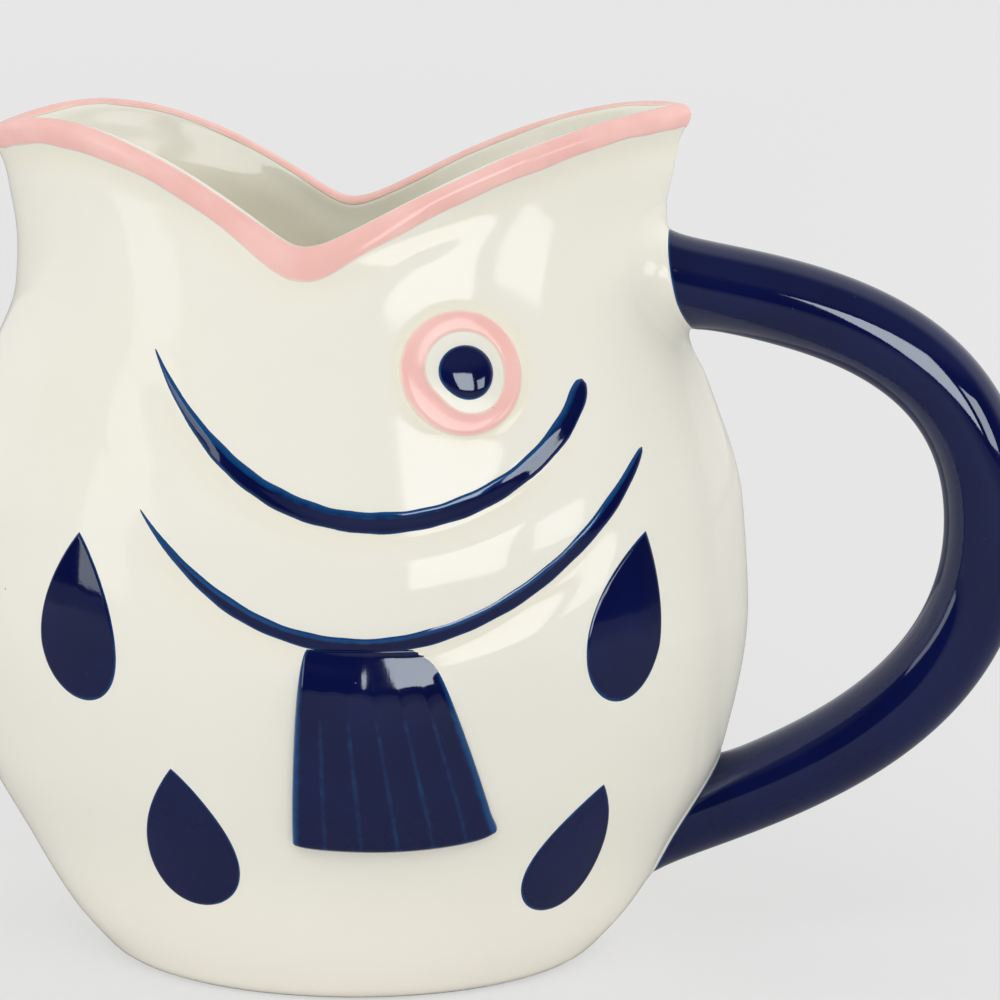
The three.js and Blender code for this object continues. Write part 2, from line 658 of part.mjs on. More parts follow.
const seen = (x, height) => new THREE.Vector3(x, 0, height);
const jaw = new THREE.CubicBezierCurve3(
  seen(JAW_FRONT_X, JAW_FRONT_HEIGHT), seen(JAW_FRONT_PULL_X, JAW_FRONT_PULL_HEIGHT),
  seen(JAW_BACK_PULL_X, JAW_BACK_PULL_HEIGHT), seen(JAW_BACK_X, JAW_BACK_HEIGHT));
const gill = new THREE.CubicBezierCurve3(
  seen(GILL_FRONT_X, GILL_FRONT_HEIGHT), seen(GILL_FRONT_PULL_X, GILL_FRONT_PULL_HEIGHT),
  seen(GILL_BACK_PULL_X, GILL_BACK_PULL_HEIGHT), seen(GILL_BACK_X, GILL_BACK_HEIGHT));
addPair('jaw_line', lineGeometry(jaw, JAW_LINE_WIDTH, JAW_LINE_TAPER), cobalt);
addPair('gill_line', lineGeometry(gill, GILL_LINE_WIDTH, GILL_LINE_TAPER), cobalt);

addPair('scale_upper_back', scaleGeometry(
  UPPER_BACK_SCALE_X, UPPER_BACK_SCALE_HEIGHT, UPPER_BACK_SCALE_LENGTH,
  UPPER_BACK_SCALE_WIDTH, UPPER_BACK_SCALE_TILT, UPPER_BACK_SCALE_BOW), cobalt);
addPair('scale_upper_front', scaleGeometry(
  UPPER_FRONT_SCALE_X, UPPER_FRONT_SCALE_HEIGHT, UPPER_FRONT_SCALE_LENGTH,
  UPPER_FRONT_SCALE_WIDTH, UPPER_FRONT_SCALE_TILT, UPPER_FRONT_SCALE_BOW), cobalt);
addPair('scale_lower_front', scaleGeometry(
  LOWER_FRONT_SCALE_X, LOWER_FRONT_SCALE_HEIGHT, LOWER_FRONT_SCALE_LENGTH,
  LOWER_FRONT_SCALE_WIDTH, LOWER_FRONT_SCALE_TILT, LOWER_FRONT_SCALE_BOW), cobalt);
addPair('scale_lower_back', scaleGeometry(
  LOWER_BACK_SCALE_X, LOWER_BACK_SCALE_HEIGHT, LOWER_BACK_SCALE_LENGTH,
  LOWER_BACK_SCALE_WIDTH, LOWER_BACK_SCALE_TILT, LOWER_BACK_SCALE_BOW), cobalt);

export default jug;
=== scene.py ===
"""Looks for the fish jug: glazed surfaces, relief, floor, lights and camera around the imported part."""

import math

import bpy
import numpy as np
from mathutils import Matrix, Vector

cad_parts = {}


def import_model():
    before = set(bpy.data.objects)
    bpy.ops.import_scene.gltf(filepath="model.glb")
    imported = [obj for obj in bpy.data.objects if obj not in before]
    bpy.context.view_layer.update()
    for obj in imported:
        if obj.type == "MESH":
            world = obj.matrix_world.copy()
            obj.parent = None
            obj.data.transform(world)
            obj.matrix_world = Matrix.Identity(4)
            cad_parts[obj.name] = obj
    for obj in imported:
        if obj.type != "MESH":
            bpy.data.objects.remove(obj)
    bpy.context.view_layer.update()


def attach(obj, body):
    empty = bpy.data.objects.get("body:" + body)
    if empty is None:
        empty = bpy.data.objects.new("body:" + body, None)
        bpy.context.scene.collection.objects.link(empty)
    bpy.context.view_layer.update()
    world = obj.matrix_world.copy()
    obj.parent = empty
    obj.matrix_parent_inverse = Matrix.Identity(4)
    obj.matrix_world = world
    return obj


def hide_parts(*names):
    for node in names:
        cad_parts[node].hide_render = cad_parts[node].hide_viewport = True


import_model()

# Sizes in millimetres, as in the part
FOOT_LENGTH, FOOT_DEPTH = 100.6, 82.5
BELLY_LENGTH, BELLY_DEPTH, BELLY_HEIGHT = 165.0, 115.5, 73.5
NECK_LENGTH, NECK_DEPTH, NECK_HEIGHT, FLANK_NECK_HEIGHT = 132.5, 73.2, 148.0, 160.0
MOUTH_LENGTH, MOUTH_DEPTH, MOUTH_HEIGHT = 144.4, 73.2, 177.5
MOUTH_LEAN, MOUTH_PINCH = 2.6, 1.5
BELLY_RISE = [(0.14, 0.277), (0.34, 0.545), (0.62, 0.862)]
SHOULDER_FALL = [(0.3, 0.054), (0.62, 0.452), (0.88, 0.96)]
FLANK_FALL = [(0.25, 0.128), (0.57, 0.515), (0.86, 0.879)]
WALL, FLOOR, FOOT_ROUND, INNER_CORNER = 4.5, 5.5, 2.5, 8.0
CREST_RADIUS = WALL / 2
NOTCH_HEIGHT, NOTCH_OFFSET, NOTCH_SOFTNESS = 152.0, -3.5, 0.083
BACK_LIP_HEIGHT, BACK_LIP_BOW = 176.5, 1.65
SPOUT_CREST_HEIGHT, SPOUT_CREST_REACH = 174.2, 57.0
SPOUT_TIP_HEIGHT, SPOUT_BOW = 170.3, 1.75
HANDLE_THICKNESS = 17.6
HANDLE_TOP_HEIGHT, HANDLE_BOTTOM_HEIGHT, HANDLE_BOW_HEIGHT = 141.8, 29.8, 91.4
FINGER_ROOM = 39.5
HANDLE_TOP_LEAD, HANDLE_TOP_ANGLE = 13.5, -19.4
HANDLE_SHOULDER_PULL, HANDLE_WAIST_PULL = 45.6, 41.2
HANDLE_BOTTOM_LEAD, HANDLE_BOTTOM_ANGLE = 15.0, 25.1
HANDLE_SEAT = 1.4
EYE_X, EYE_HEIGHT = 27.8, 128.4
# Width, height and shift towards the handle of the eye's ring, its white and its pupil
EYE_RING, EYE_WHITE, PUPIL = (24.7, 25.1, 0.0), (15.3, 15.8, 0.5), (10.9, 10.8, 0.7)
FIN_X, FIN_MIDDLE_HEIGHT, FIN_HEIGHT = 11.9, 56.1, 39.0
FIN_TOP_WIDTH, FIN_BOTTOM_WIDTH, FIN_TOP_SHIFT, FIN_SWEEP = 24.4, 40.2, -0.8, 4.6
FIN_HEM, FIN_HEM_RISE, FIN_FLARE, FIN_SPREAD = 1.3, 1.2, 0.7, 2.8
JAW_LINE = [(-32.8, 132.0), (-8.1, 83.1), (48.1, 100.9), (50.3, 125.9)]
GILL_LINE = [(-34.6, 102.0), (-2.1, 58.3), (49.9, 80.6), (62.1, 112.0)]
# Each scale: its middle, length, width, tilt in degrees and bow
SCALES = {
    "scale_upper_back": (60.7, 80.2, 34.8, 17.4, 16.0, 1.2),
    "scale_upper_front": (-48.3, 79.4, 34.1, 18.9, -4.8, 0.9),
    "scale_lower_front": (-26.2, 35.8, 32.0, 19.9, -8.0, 0.2),
    "scale_lower_back": (49.8, 32.3, 31.7, 16.2, 19.3, -0.4),
}
SCALE_FULLNESS = 0.85

# Relief of the real surface that the plain solids leave out. A fade gives the shares of a line's
# course over which a form starts and ends. A drop is measured down from the line or the rim.
JAW_GROOVE, GILL_GROOVE, GROOVE_WIDTH, GROOVE_DROP = 1.2, 0.8, 3.2, 2.9
JAW_GROOVE_FADE, GILL_GROOVE_FADE = (0.2, 0.25), (0.15, 0.3)
GILL_SWELL, GILL_SWELL_FADE = 0.9, (0.3, 0.5)
EYE_SWELL, EYE_SWELL_EDGE, EYE_SWELL_SLOPE = 0.7, 1.5, 3.0
LIP_BEAD, LIP_BEAD_DROP, LIP_BEAD_REACH = 0.55, 2.6, 2.4
LIP_HOLLOW, LIP_HOLLOW_DROP, LIP_HOLLOW_REACH = 0.35, 8.5, 3.2
# Share by which the wall thickens below the lip, over which depth, and the depth where the inside's painted
# light is full
INNER_SWELL, INNER_SWELL_DEPTH, INSIDE_LIGHT_DEPTH = 0.2, 9, 30

# Where the glaze pools, from 0 to 1, and how far round
GROOVE_POOL = 0.5
EYE_POOL, EYE_POOL_GAP, EYE_POOL_REACH = 0.9, 0.8, 1.3
LIP_POOL, LIP_POOL_DROP, LIP_POOL_REACH = 0.45, 7.5, 2.6

# Glaze skins: their thickness, how far the edges sink in, where the undersides lie, and the widths
# over which a skin rises from its edge
GLAZE, SKIN_SINK, EDGE_SINK = 0.22, 0.05, 0.06
SHEET_UNDER, DISC_UNDER = -0.4, -0.35
SKIN_EDGE, LINE_EDGE, LIP_EDGE, EYE_RING_EDGE = 0.6, 0.5, 0.7, 0.8

# The lip's pink: its width below the rim, with more at the notch and towards the spout, and its core
LIP_BAND, LIP_BAND_NOTCH, LIP_BAND_SPOUT = 4.6, 2.2, 0.5
LIP_NOTCH_REACH, LIP_SPOUT_REACH = 9, 12
LIP_UNDER, LIP_CORE_DROP, LIP_CORE_SHARE = 0.5, 1.0, 0.45
# Waves of a brushed edge: amount, count and phase
LIP_WAVES = [(0.22, 5, 1.0), (0.16, 13, 0), (0.1, 29, 2)]
# How far the pink runs over the crest in degrees: furthest on the right flank
CREST_TURN, CREST_WAVES = 123, [(43, 1, 0), (4, 7, 0), (3, 19, 1)]

# Each painted line: its course, width, and the shares over which the width opens and closes
LINES = {"jaw_line": (JAW_LINE, 4.4, 0.34, 0.04), "gill_line": (GILL_LINE, 3.4, 0.26, 0.14)}
LINE_TIP, LINE_END, LINE_LEAST_GAP = 0.5, 0.15, 0.02
LINE_WAVES = [(0.03, 37, 0), (0.03, 91, 1)]
# How deep the glaze is at a line's start, up to which share that goes, and in its upper half
LINE_START_DEPTH, LINE_START_SHARE, LINE_UPPER_DEPTH = 0.35, 0.45, 0.32

# Unevenness of the eye's outlines: direction in degrees, amount, and reach in degrees
EYE_RING_UNEVEN = [(300, 0.015, 40)]
EYE_WHITE_UNEVEN = [(222, -0.16, 35), (310, 0.05, 30)]
PUPIL_UNEVEN = [(225, -0.06, 30), (300, 0.03, 30)]
EYE_RING_DOME, PUPIL_DOME = 0.12, 1.35

# The fin's outline. Places down and across it run from 0 to 1.
FIN_SPREAD_CURVE, FIN_TOP_RAISE, FIN_TOP_TUCK = 1.6, 1.3, 0.08
FIN_FRONT_CORNER, FIN_BACK_CORNER = (0.9, 0.035), (1.6, 0.05)
FIN_CORNER_FROM, FIN_CORNER_SPAN = 0.85, 0.15
# Its thickness: thin at the gill line, full from FIN_FULL_AT down, crowned and lightly creased
FIN_SHOULDER, FIN_THIN, FIN_THICKER, FIN_FULL_AT, FIN_LEAST = 1.8, 0.45, 2.35, 0.46, 0.4
FIN_CROWN, FIN_CROWN_FADE, FIN_CROWN_MIDDLE = 0.0045, 0.6, 0.34
FIN_CREASE, FIN_CREASE_PLACE, FIN_CREASE_WIDTH = 0.12, -1.5, 1.3
FIN_CREASE_DOWN, FIN_CREASE_REACH = 0.17, 0.13
# Its flutes, and how deep the glaze is at its edges and on its ridges
FIN_FLUTES, FIN_FLUTE_DEPTH, FIN_FLUTE_CURVE, FIN_FLUTE_END = 6, 0.5, 0.8, 5
FIN_FLUTE_FROM, FIN_FLUTE_SPAN = 0.1, 0.6
FIN_SIDE_DEPTH, FIN_SIDE_LESS, FIN_SIDE_SPAN = 0.6, 0.3, 0.5
FIN_END_DEPTH, FIN_MOST_DEPTH = 0.6, 0.9
FIN_RIDGE_LESS, FIN_RIDGE_FROM, FIN_RIDGE_SPAN, FIN_RIDGE_DOWN = 0.5, 0.2, 0.7, 0.3

# The handle's ends, and the slip: its spread on the body and where its bend lies
HANDLE_BLEND = 1.5 * HANDLE_THICKNESS
HANDLE_PLUG_SIZE, HANDLE_PLUG_DEPTH = 0.93, 1.2
UPPER_SEAT_GAP, UPPER_SEAT_SLANT, LOWER_SEAT_GAP = 1.8, 0.07, 0.4
UPPER_SLIP, LOWER_SLIP = (5.5, 0.15), (1.3, 0.2)
SLIP_SINK, SLIP_COLLAR, SLIP_WALL = 0.05, 0.35, 0.4
SLIP_FOOT_DEPTH, SLIP_EDGE_DEPTH = 1.0, 0.8

# How finely the meshes and courses are made, and the rounds and reach of a search
RING_COLUMNS, HANDLE_SIDES, HANDLE_STEPS, CURVE_STEPS = 448, 96, 221, 900
COURSE_STEPS, LINE_STEPS, SCALE_SIDES, EYE_SIDES = 800, 220, 120, 128
SEARCH_ROUNDS, SEARCH_REACH = 40, 40.0

# Colours as 8-bit sRGB values
# The foot's paler cream is painted light, standing in for light the lower body lacks
CREAM, CREAM_CLOUD, CREAM_FOOT_PAINTED_LIGHT = (232, 230, 219), (230, 228, 215), (246, 242, 230)
# The inside's paler cream is painted light, standing in for light that doesn't reach into the jug
CREAM_INSIDE_PAINTED_LIGHT, CREAM_POOL, PINHOLE = (255, 251, 230), (232, 226, 202), (140, 124, 100)
PINK, PINK_CLOUD, PINK_EDGE, PINK_SPECK = (240, 194, 186), (237, 186, 178), (238, 212, 201), (216, 140, 131)
COBALT, COBALT_CLOUD, COBALT_EDGE, COBALT_SPECK = (5, 12, 58), (7, 16, 66), (14, 66, 118), (14, 30, 80)
PAPER, PAPER_CLOUD, PAPER_IN_GLOSS = (240, 240, 240), (238, 238, 238), (158, 158, 158)
# The paper's near colour is a painted shadow: the camera sees the floor darker towards the jug
PAPER_NEAR_PAINTED_SHADOW, PAPER_FAR = (224, 224, 224), (240, 240, 240)

# Each lamp: its name, azimuth, elevation, distance, width, height and radiance, in degrees and metres
GLOSS_BOXES = [
    ("softbox_right_a", 27, 16, 1.0, 0.44, 0.42, 8.0),
    ("softbox_right_b", 54, 12, 1.0, 0.26, 0.26, 6.5),
    ("softbox_left", -56, 12, 1.0, 0.26, 0.42, 2.6),
]
FILL_LAMPS = [
    ("front_fill", 4, 46, 1.3, 1.4, 0.8, 1.65),
    ("left_fill", -80, 15, 1.5, 0.8, 0.5, 2.5),
    ("right_fill", 120, 14, 1.5, 0.9, 0.6, 5.6),
]
LAMP_AIM_HEIGHT = 0.09
# The world's level for the camera and for light, and what the gloss sees of it: dark in front and
# low, dim higher up, and the backdrop behind
BACKDROP_LEVEL, WORLD_LIGHT = 0.783, 0.7
ROOM_DARK, ROOM_DIM, ROOM_BACKDROP = 0.03, 0.18, 0.78
# The spans of direction over which the front and the low part end and the backdrop sets in
ROOM_FRONT, ROOM_LOW, ROOM_BEHIND = (-0.3, 0.1), (0.42, 0.62), (-0.1, 0.3)
# The floor's half size, how far its painted shadow reaches from the jug, and the camera's share of its glow
FLOOR_HALF_SIZE, FLOOR_PAINTED_SHADOW_REACH, FLOOR_PLAIN_SHARE = 8.0, 2.2, 0.7

# The photo's camera
CAMERA_AZIMUTH, CAMERA_ELEVATION, CAMERA_DISTANCE = 5.6, 12.2, 0.8
CAMERA_TARGET = (0.0313, 0, 0.0947)
FOCAL_PIXELS, PICTURE_PIXELS, SENSOR_WIDTH = 3893, 1000, 36


# ---- Helpers

def unit(v):
    return v / np.maximum(np.linalg.norm(v, axis=-1, keepdims=True), 1e-12)


def smooth(t):
    t = np.clip(t, 0, 1)
    return t * t * (3 - 2 * t)


def ramp(value, start, span):
    """0 up to the start, then smoothly up to 1 over the span."""
    return smooth((value - start) / span)


def hump(value, middle, reach):
    """1 at the middle, falling away like a bell over the reach."""
    return np.exp(-(((value - middle) / reach) ** 2))


def rounded(t):
    """Quarter circle: rises steeply from 0 and flattens out at 1."""
    t = np.clip(t, 0, 1)
    return np.sqrt(t * (2 - t))


def waves(start, table, angle):
    """A start value plus sine waves, each given by its amount, count and phase."""
    for amount, count, phase in table:
        start = start + amount * np.sin(count * angle + phase)
    return start


def bezier(points, t):
    p = np.array(points, float)
    t = np.asarray(t, float)[..., None]
    r = 1 - t
    return p[0] * r ** 3 + 3 * p[1] * r * r * t + 3 * p[2] * r * t * t + p[3] * t ** 3


def run_along(points):
    """Length of a course of points up to each of them."""
    return np.concatenate([[0], np.cumsum(np.linalg.norm(np.diff(points, axis=0), axis=1))])


def even_steps(points, count):
    """Points at even distances on a bezier curve, and its length."""
    t = np.linspace(0, 1, COURSE_STEPS)
    run = run_along(bezier(points, t))
    return bezier(points, np.interp(np.linspace(0, run[-1], count), run, t)), run[-1]


def pchip(places, values):
    """Smooth curve through the given values that doesn't overshoot between them."""
    places, values = np.array(places, float), np.array(values, float)
    steps = np.diff(places)
    slopes = np.diff(values) / steps
    tangents = np.empty(len(places))
    tangents[0], tangents[-1] = slopes[0], slopes[-1]
    for i in range(1, len(steps)):
        before, after = 2 * steps[i] + steps[i - 1], steps[i] + 2 * steps[i - 1]
        flat = slopes[i - 1] * slopes[i] <= 0
        tangents[i] = 0 if flat else (before + after) / (before / slopes[i - 1] + after / slopes[i])

    def at(place):
        place = np.asarray(place, float)
        i = np.clip(np.searchsorted(places, place) - 1, 0, len(steps) - 1)
        t = (place - places[i]) / steps[i]
        r = 1 - t
        return (
            values[i] * (1 + 2 * t) * r * r + steps[i] * tangents[i] * t * r * r
            + values[i + 1] * t * t * (3 - 2 * t) - steps[i] * tangents[i + 1] * t * t * r
        )

    return at


# ---- Body surface

def profile(foot, belly, neck, mouth, neck_height, fall):
    places = [0] + [up * BELLY_HEIGHT for up, _ in BELLY_RISE] + [BELLY_HEIGHT]
    values = [foot] + [foot + out * (belly - foot) for _, out in BELLY_RISE] + [belly]
    for up, out in fall:
        places.append(BELLY_HEIGHT + up * (neck_height - BELLY_HEIGHT))
        values.append(belly + out * (neck - belly))
    places += [neck_height, MOUTH_HEIGHT]
    values += [neck, mouth]
    return pchip(places, np.array(values) / 2)


half_length = profile(FOOT_LENGTH, BELLY_LENGTH, NECK_LENGTH, MOUTH_LENGTH, NECK_HEIGHT, SHOULDER_FALL)
half_depth = profile(FOOT_DEPTH, BELLY_DEPTH, NECK_DEPTH, MOUTH_DEPTH, FLANK_NECK_HEIGHT, FLANK_FALL)


def above_belly(z):
    return np.maximum(0, (np.asarray(z, float) - BELLY_HEIGHT) / (MOUTH_HEIGHT - BELLY_HEIGHT))


def middle(z):
    return -MOUTH_LEAN * above_belly(z)


def pinch(z):
    return 1 + (MOUTH_PINCH - 1) * above_belly(z)


def body_point(angle, z, inset_x=0.0, inset_y=0.0):
    side = np.sin(angle)
    x = middle(z) + (half_length(z) - inset_x) * np.cos(angle)
    y = (half_depth(z) - inset_y) * np.sign(side) * np.abs(side) ** pinch(z)
    return np.stack(np.broadcast_arrays(x, y, z), -1).astype(float)


def body_normal(angle, z):
    around = body_point(angle + 0.01, z) - body_point(angle - 0.01, z)
    up = body_point(angle, z + 0.5) - body_point(angle, z - 0.5)
    return unit(np.cross(around, up))


def inner_point(angle, z, share=1.0):
    """Point that lies a share of the wall's thickness inside the body's surface."""
    def slant(half):
        return np.hypot(1, (half(z + 1) - half(z - 1)) / 2)

    return body_point(angle, z, share * WALL * slant(half_length), share * WALL * slant(half_depth))


def rim_height(x):
    def soften(u):
        return (np.hypot(u, NOTCH_SOFTNESS) - NOTCH_SOFTNESS) / (
            np.hypot(1, NOTCH_SOFTNESS) - NOTCH_SOFTNESS)

    def climb(u, bow):
        return 1 - (1 - soften(np.clip(u, 0, 1))) ** bow

    back_u = (x - NOTCH_OFFSET) / (MOUTH_LENGTH / 2 - MOUTH_LEAN - NOTCH_OFFSET)
    back = NOTCH_HEIGHT + (BACK_LIP_HEIGHT - NOTCH_HEIGHT) * climb(back_u, BACK_LIP_BOW)
    front_u = (NOTCH_OFFSET - x) / (NOTCH_OFFSET + SPOUT_CREST_REACH)
    past_reach = MOUTH_LENGTH / 2 + MOUTH_LEAN - SPOUT_CREST_REACH
    past = np.maximum(0, (-SPOUT_CREST_REACH - x) / past_reach)
    front = (NOTCH_HEIGHT + (SPOUT_CREST_HEIGHT - NOTCH_HEIGHT) * climb(front_u, SPOUT_BOW)
             - (SPOUT_CREST_HEIGHT - SPOUT_TIP_HEIGHT) * past ** 2)
    return np.where(x > NOTCH_OFFSET, back, front)


def rim_at(angle):
    z = np.full(np.shape(angle), (NOTCH_HEIGHT + BACK_LIP_HEIGHT) / 2)
    for _ in range(SEARCH_ROUNDS):
        z = (z + rim_height(body_point(angle, z)[..., 0])) / 2
    return z


def slope_cosine(x):
    slope = (rim_height(x + 0.5) - rim_height(x - 0.5))
    return 1 / np.sqrt(1 + slope ** 2)


def left_angle(x, z):
    return -np.arccos(np.clip((x - middle(z)) / half_length(z), -1, 1))


def angle_of(points):
    z = points[..., 2]
    side = (np.abs(points[..., 1]) / half_depth(z)) ** (1 / pinch(z))
    along = (points[..., 0] - middle(z)) / half_length(z)
    return np.arctan2(np.sign(points[..., 1]) * side, along)


# ---- Relief on the outside of the body, in millimetres along its normal

def line_on_body(points):
    seen, _ = even_steps(points, LINE_STEPS)
    return body_point(left_angle(seen[:, 0], seen[:, 1]), seen[:, 1])


jaw_course = line_on_body(JAW_LINE)
gill_course = line_on_body(GILL_LINE)


def nearest(points, course):
    """Distance below (+) or above (-) a course on the left flank, and its share there."""
    gap = np.empty(len(points))
    share = np.empty(len(points))
    along = np.gradient(course, axis=0)
    batch = 4000
    for start in range(0, len(points), batch):
        part = points[start:start + batch]
        far = np.linalg.norm(part[:, None] - course[None], axis=-1)
        i = far.argmin(1)
        to = part - course[i]
        below = along[i][:, 0] * to[:, 2] - along[i][:, 2] * to[:, 0] < 0
        gap[start:start + batch] = far[np.arange(len(part)), i] * np.where(below, 1, -1)
        share[start:start + batch] = i / (len(course) - 1)
    return gap, share


def flank_patch(x, z):
    """Origin and two directions of a flat patch that touches the left flank."""
    angle = left_angle(x, z)
    origin, normal = body_point(angle, z), body_normal(angle, z)
    across = unit(np.cross([0.0, 0.0, 1.0], normal))
    return origin, across, np.cross(normal, across)


eye_patch = flank_patch(EYE_X, EYE_HEIGHT)


def relief(points, rim=None):
    """Height of the real surface over the plain one at points of the outside, and where glaze pools."""
    left = points * [1, 0, 1] - np.abs(points) * [0, 1, 0]
    jaw_gap, jaw_share = nearest(left, jaw_course)
    gill_gap, gill_share = nearest(left, gill_course)

    def fade(share, start, end):
        return ramp(share, 0, start) * ramp(1 - share, 0, end)

    jaw_groove = fade(jaw_share, *JAW_GROOVE_FADE) * hump(jaw_gap, GROOVE_DROP, GROOVE_WIDTH)
    gill_groove = fade(gill_share, *GILL_GROOVE_FADE) * hump(gill_gap, GROOVE_DROP, GROOVE_WIDTH)
    t = np.abs(jaw_gap) / np.maximum(np.abs(jaw_gap) + np.abs(gill_gap), 1e-6)
    between = (jaw_gap > 0) & (gill_gap < 0)
    reach = fade((jaw_share + gill_share) / 2, *GILL_SWELL_FADE)
    swell = np.where(between, 4 * t * (1 - t), 0) * reach
    rise = GILL_SWELL * swell - JAW_GROOVE * jaw_groove - GILL_GROOVE * gill_groove
    origin, across, up = eye_patch
    eye = left - origin
    eye_gap = (np.hypot(eye @ across / EYE_RING[0], eye @ up / EYE_RING[1]) - 0.5) * EYE_RING[0]
    rise += EYE_SWELL * smooth((EYE_SWELL_EDGE - eye_gap) / EYE_SWELL_SLOPE)
    pool = GROOVE_POOL * np.maximum(jaw_groove, gill_groove)
    pool += EYE_POOL * hump(eye_gap, EYE_POOL_GAP, EYE_POOL_REACH)
    if rim is not None:
        drop = (rim - points[:, 2]) * slope_cosine(points[:, 0])
        rise += LIP_BEAD * hump(drop, LIP_BEAD_DROP, LIP_BEAD_REACH)
        rise -= LIP_HOLLOW * hump(drop, LIP_HOLLOW_DROP, LIP_HOLLOW_REACH)
        pool += LIP_POOL * hump(drop, LIP_POOL_DROP, LIP_POOL_REACH)
    return rise, np.clip(pool, 0, 1)


def onto_body(points, lift):
    """Drops nearby points onto the relief of the body, then lifts them off it."""
    shape = points.shape[:-1]
    flat = points.reshape(-1, 3)
    angle, z = angle_of(flat), flat[:, 2]
    base = body_point(angle, z)
    rise, _ = relief(base)
    lift = np.broadcast_to(lift, shape).reshape(-1)
    return (base + body_normal(angle, z) * (rise + lift)[:, None]).reshape(*shape, 3)


def on_patch(patch, uv, lift):
    origin, across, up = patch
    flat = origin + uv[..., 0:1] * across + uv[..., 1:2] * up
    return onto_body(flat, lift)


def glaze_lift(gap, width=SKIN_EDGE):
    """Height of a skin at a distance from its edge."""
    return -SKIN_SINK + (GLAZE + SKIN_SINK) * smooth(gap / width)


# ---- Meshes

def mesh_object(name, points, faces, nodes, material, attributes):
    """Smooth-shaded piece from points in millimetres and quads or triangles."""
    points = np.asarray(points, float).reshape(-1, 3)
    mesh = bpy.data.meshes.new(name)
    mesh.from_pydata((points / 1000).tolist(), [], [list(map(int, f)) for f in faces])
    for key, values in attributes.items():
        layer = mesh.attributes.new(key, "FLOAT", "POINT")
        layer.data.foreach_set("value", np.asarray(values, np.float32).ravel())
    mesh.validate()
    mesh.polygons.foreach_set("use_smooth", [True] * len(mesh.polygons))
    mesh.update()
    piece = bpy.data.objects.new(name, mesh)
    bpy.context.scene.collection.objects.link(piece)
    piece.data.materials.append(material)
    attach(piece, "root")
    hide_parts(*nodes)


def tube_faces(rows, columns, wrap_rows=False):
    """Quads of a grid whose columns run round."""
    faces = []
    last = rows if wrap_rows else rows - 1
    for row in range(last):
        low, high = row * columns, ((row + 1) % rows) * columns
        for i in range(columns):
            j = (i + 1) % columns
            faces.append([low + i, low + j, high + j, high + i])
    return faces


def add_end_fans(faces, hubs, top, columns):
    """Triangles from one hub to the first ring, and from the other to the ring that starts at top."""
    for i in range(columns):
        j = (i + 1) % columns
        faces.append([hubs[0], j, i])
        faces.append([hubs[1], top + i, top + j])


def grid_shell(top, bottom):
    """Closed shell between two equal grids of points."""
    rows, columns = top.shape[:2]
    points = np.concatenate([top.reshape(-1, 3), bottom.reshape(-1, 3)])
    under = rows * columns
    faces = []
    for r in range(rows - 1):
        for c in range(columns - 1):
            a = r * columns + c
            faces.append([a, a + 1, a + columns + 1, a + columns])
            faces.append([under + a, under + a + columns, under + a + columns + 1, under + a + 1])
    border = [(r, 0) for r in range(rows)]
    border += [(rows - 1, c) for c in range(1, columns)]
    border += [(r, columns - 1) for r in range(rows - 2, -1, -1)]
    border += [(0, c) for c in range(columns - 2, 0, -1)]
    ids = [r * columns + c for r, c in border]
    for a, b in zip(ids, ids[1:] + ids[:1]):
        faces.append([a, b, under + b, under + a])
    return points, faces


def outward(points, faces):
    """Faces turned so that the closed mesh has a positive volume."""
    points = np.asarray(points, float).reshape(-1, 3)
    total = 0.0
    for face in faces:
        a = points[face[0]]
        for k in range(1, len(face) - 1):
            total += np.dot(a, np.cross(points[face[k]], points[face[k + 1]]))
    return faces if total > 0 else [face[::-1] for face in faces]


def pair(name, points, faces, material, attributes):
    """A piece on the left flank and its mirror image on the right one."""
    faces = outward(points, faces)
    mirrored = np.asarray(points, float).reshape(-1, 3) * [1, -1, 1]
    mesh_object(f"{name}_left_glaze", points, faces, [f"{name}_left"], material, attributes)
    mesh_object(f"{name}_right_glaze", mirrored, [f[::-1] for f in faces],
                [f"{name}_right"], material, attributes)


# ---- Materials

def srgb(r, g, b):
    def linear(c):
        c /= 255
        return c / 12.92 if c <= 0.04045 else ((c + 0.055) / 1.055) ** 2.4
    return (linear(r), linear(g), linear(b), 1)


class Nodes:
    """Short names for the nodes of one tree."""

    def __init__(self, tree):
        self.tree = tree

    def add(self, kind, **settings):
        node = self.tree.nodes.new(kind)
        for key, value in settings.items():
            setattr(node, key, value)
        return node

    def link(self, source, target):
        self.tree.links.new(source, target)

    def put(self, socket, value):
        if hasattr(value, "links"):
            self.link(value, socket)
        else:
            socket.default_value = value

    def math(self, operation, a, b):
        node = self.add("ShaderNodeMath", operation=operation)
        self.put(node.inputs[0], a)
        self.put(node.inputs[1], b)
        return node.outputs[0]

    def span(self, value, low, high, to_low=0.0, to_high=1.0):
        node = self.add("ShaderNodeMapRange", interpolation_type="SMOOTHSTEP")
        self.put(node.inputs["Value"], value)
        node.inputs["From Min"].default_value = low
        node.inputs["From Max"].default_value = high
        node.inputs["To Min"].default_value = to_low
        node.inputs["To Max"].default_value = to_high
        return node.outputs["Result"]

    def mix(self, share, first, second, kind="RGBA"):
        node = self.add("ShaderNodeMix", data_type=kind)
        self.put(node.inputs["Factor"], share)
        self.put(node.inputs["A"], first)
        self.put(node.inputs["B"], second)
        return node.outputs["Result"]


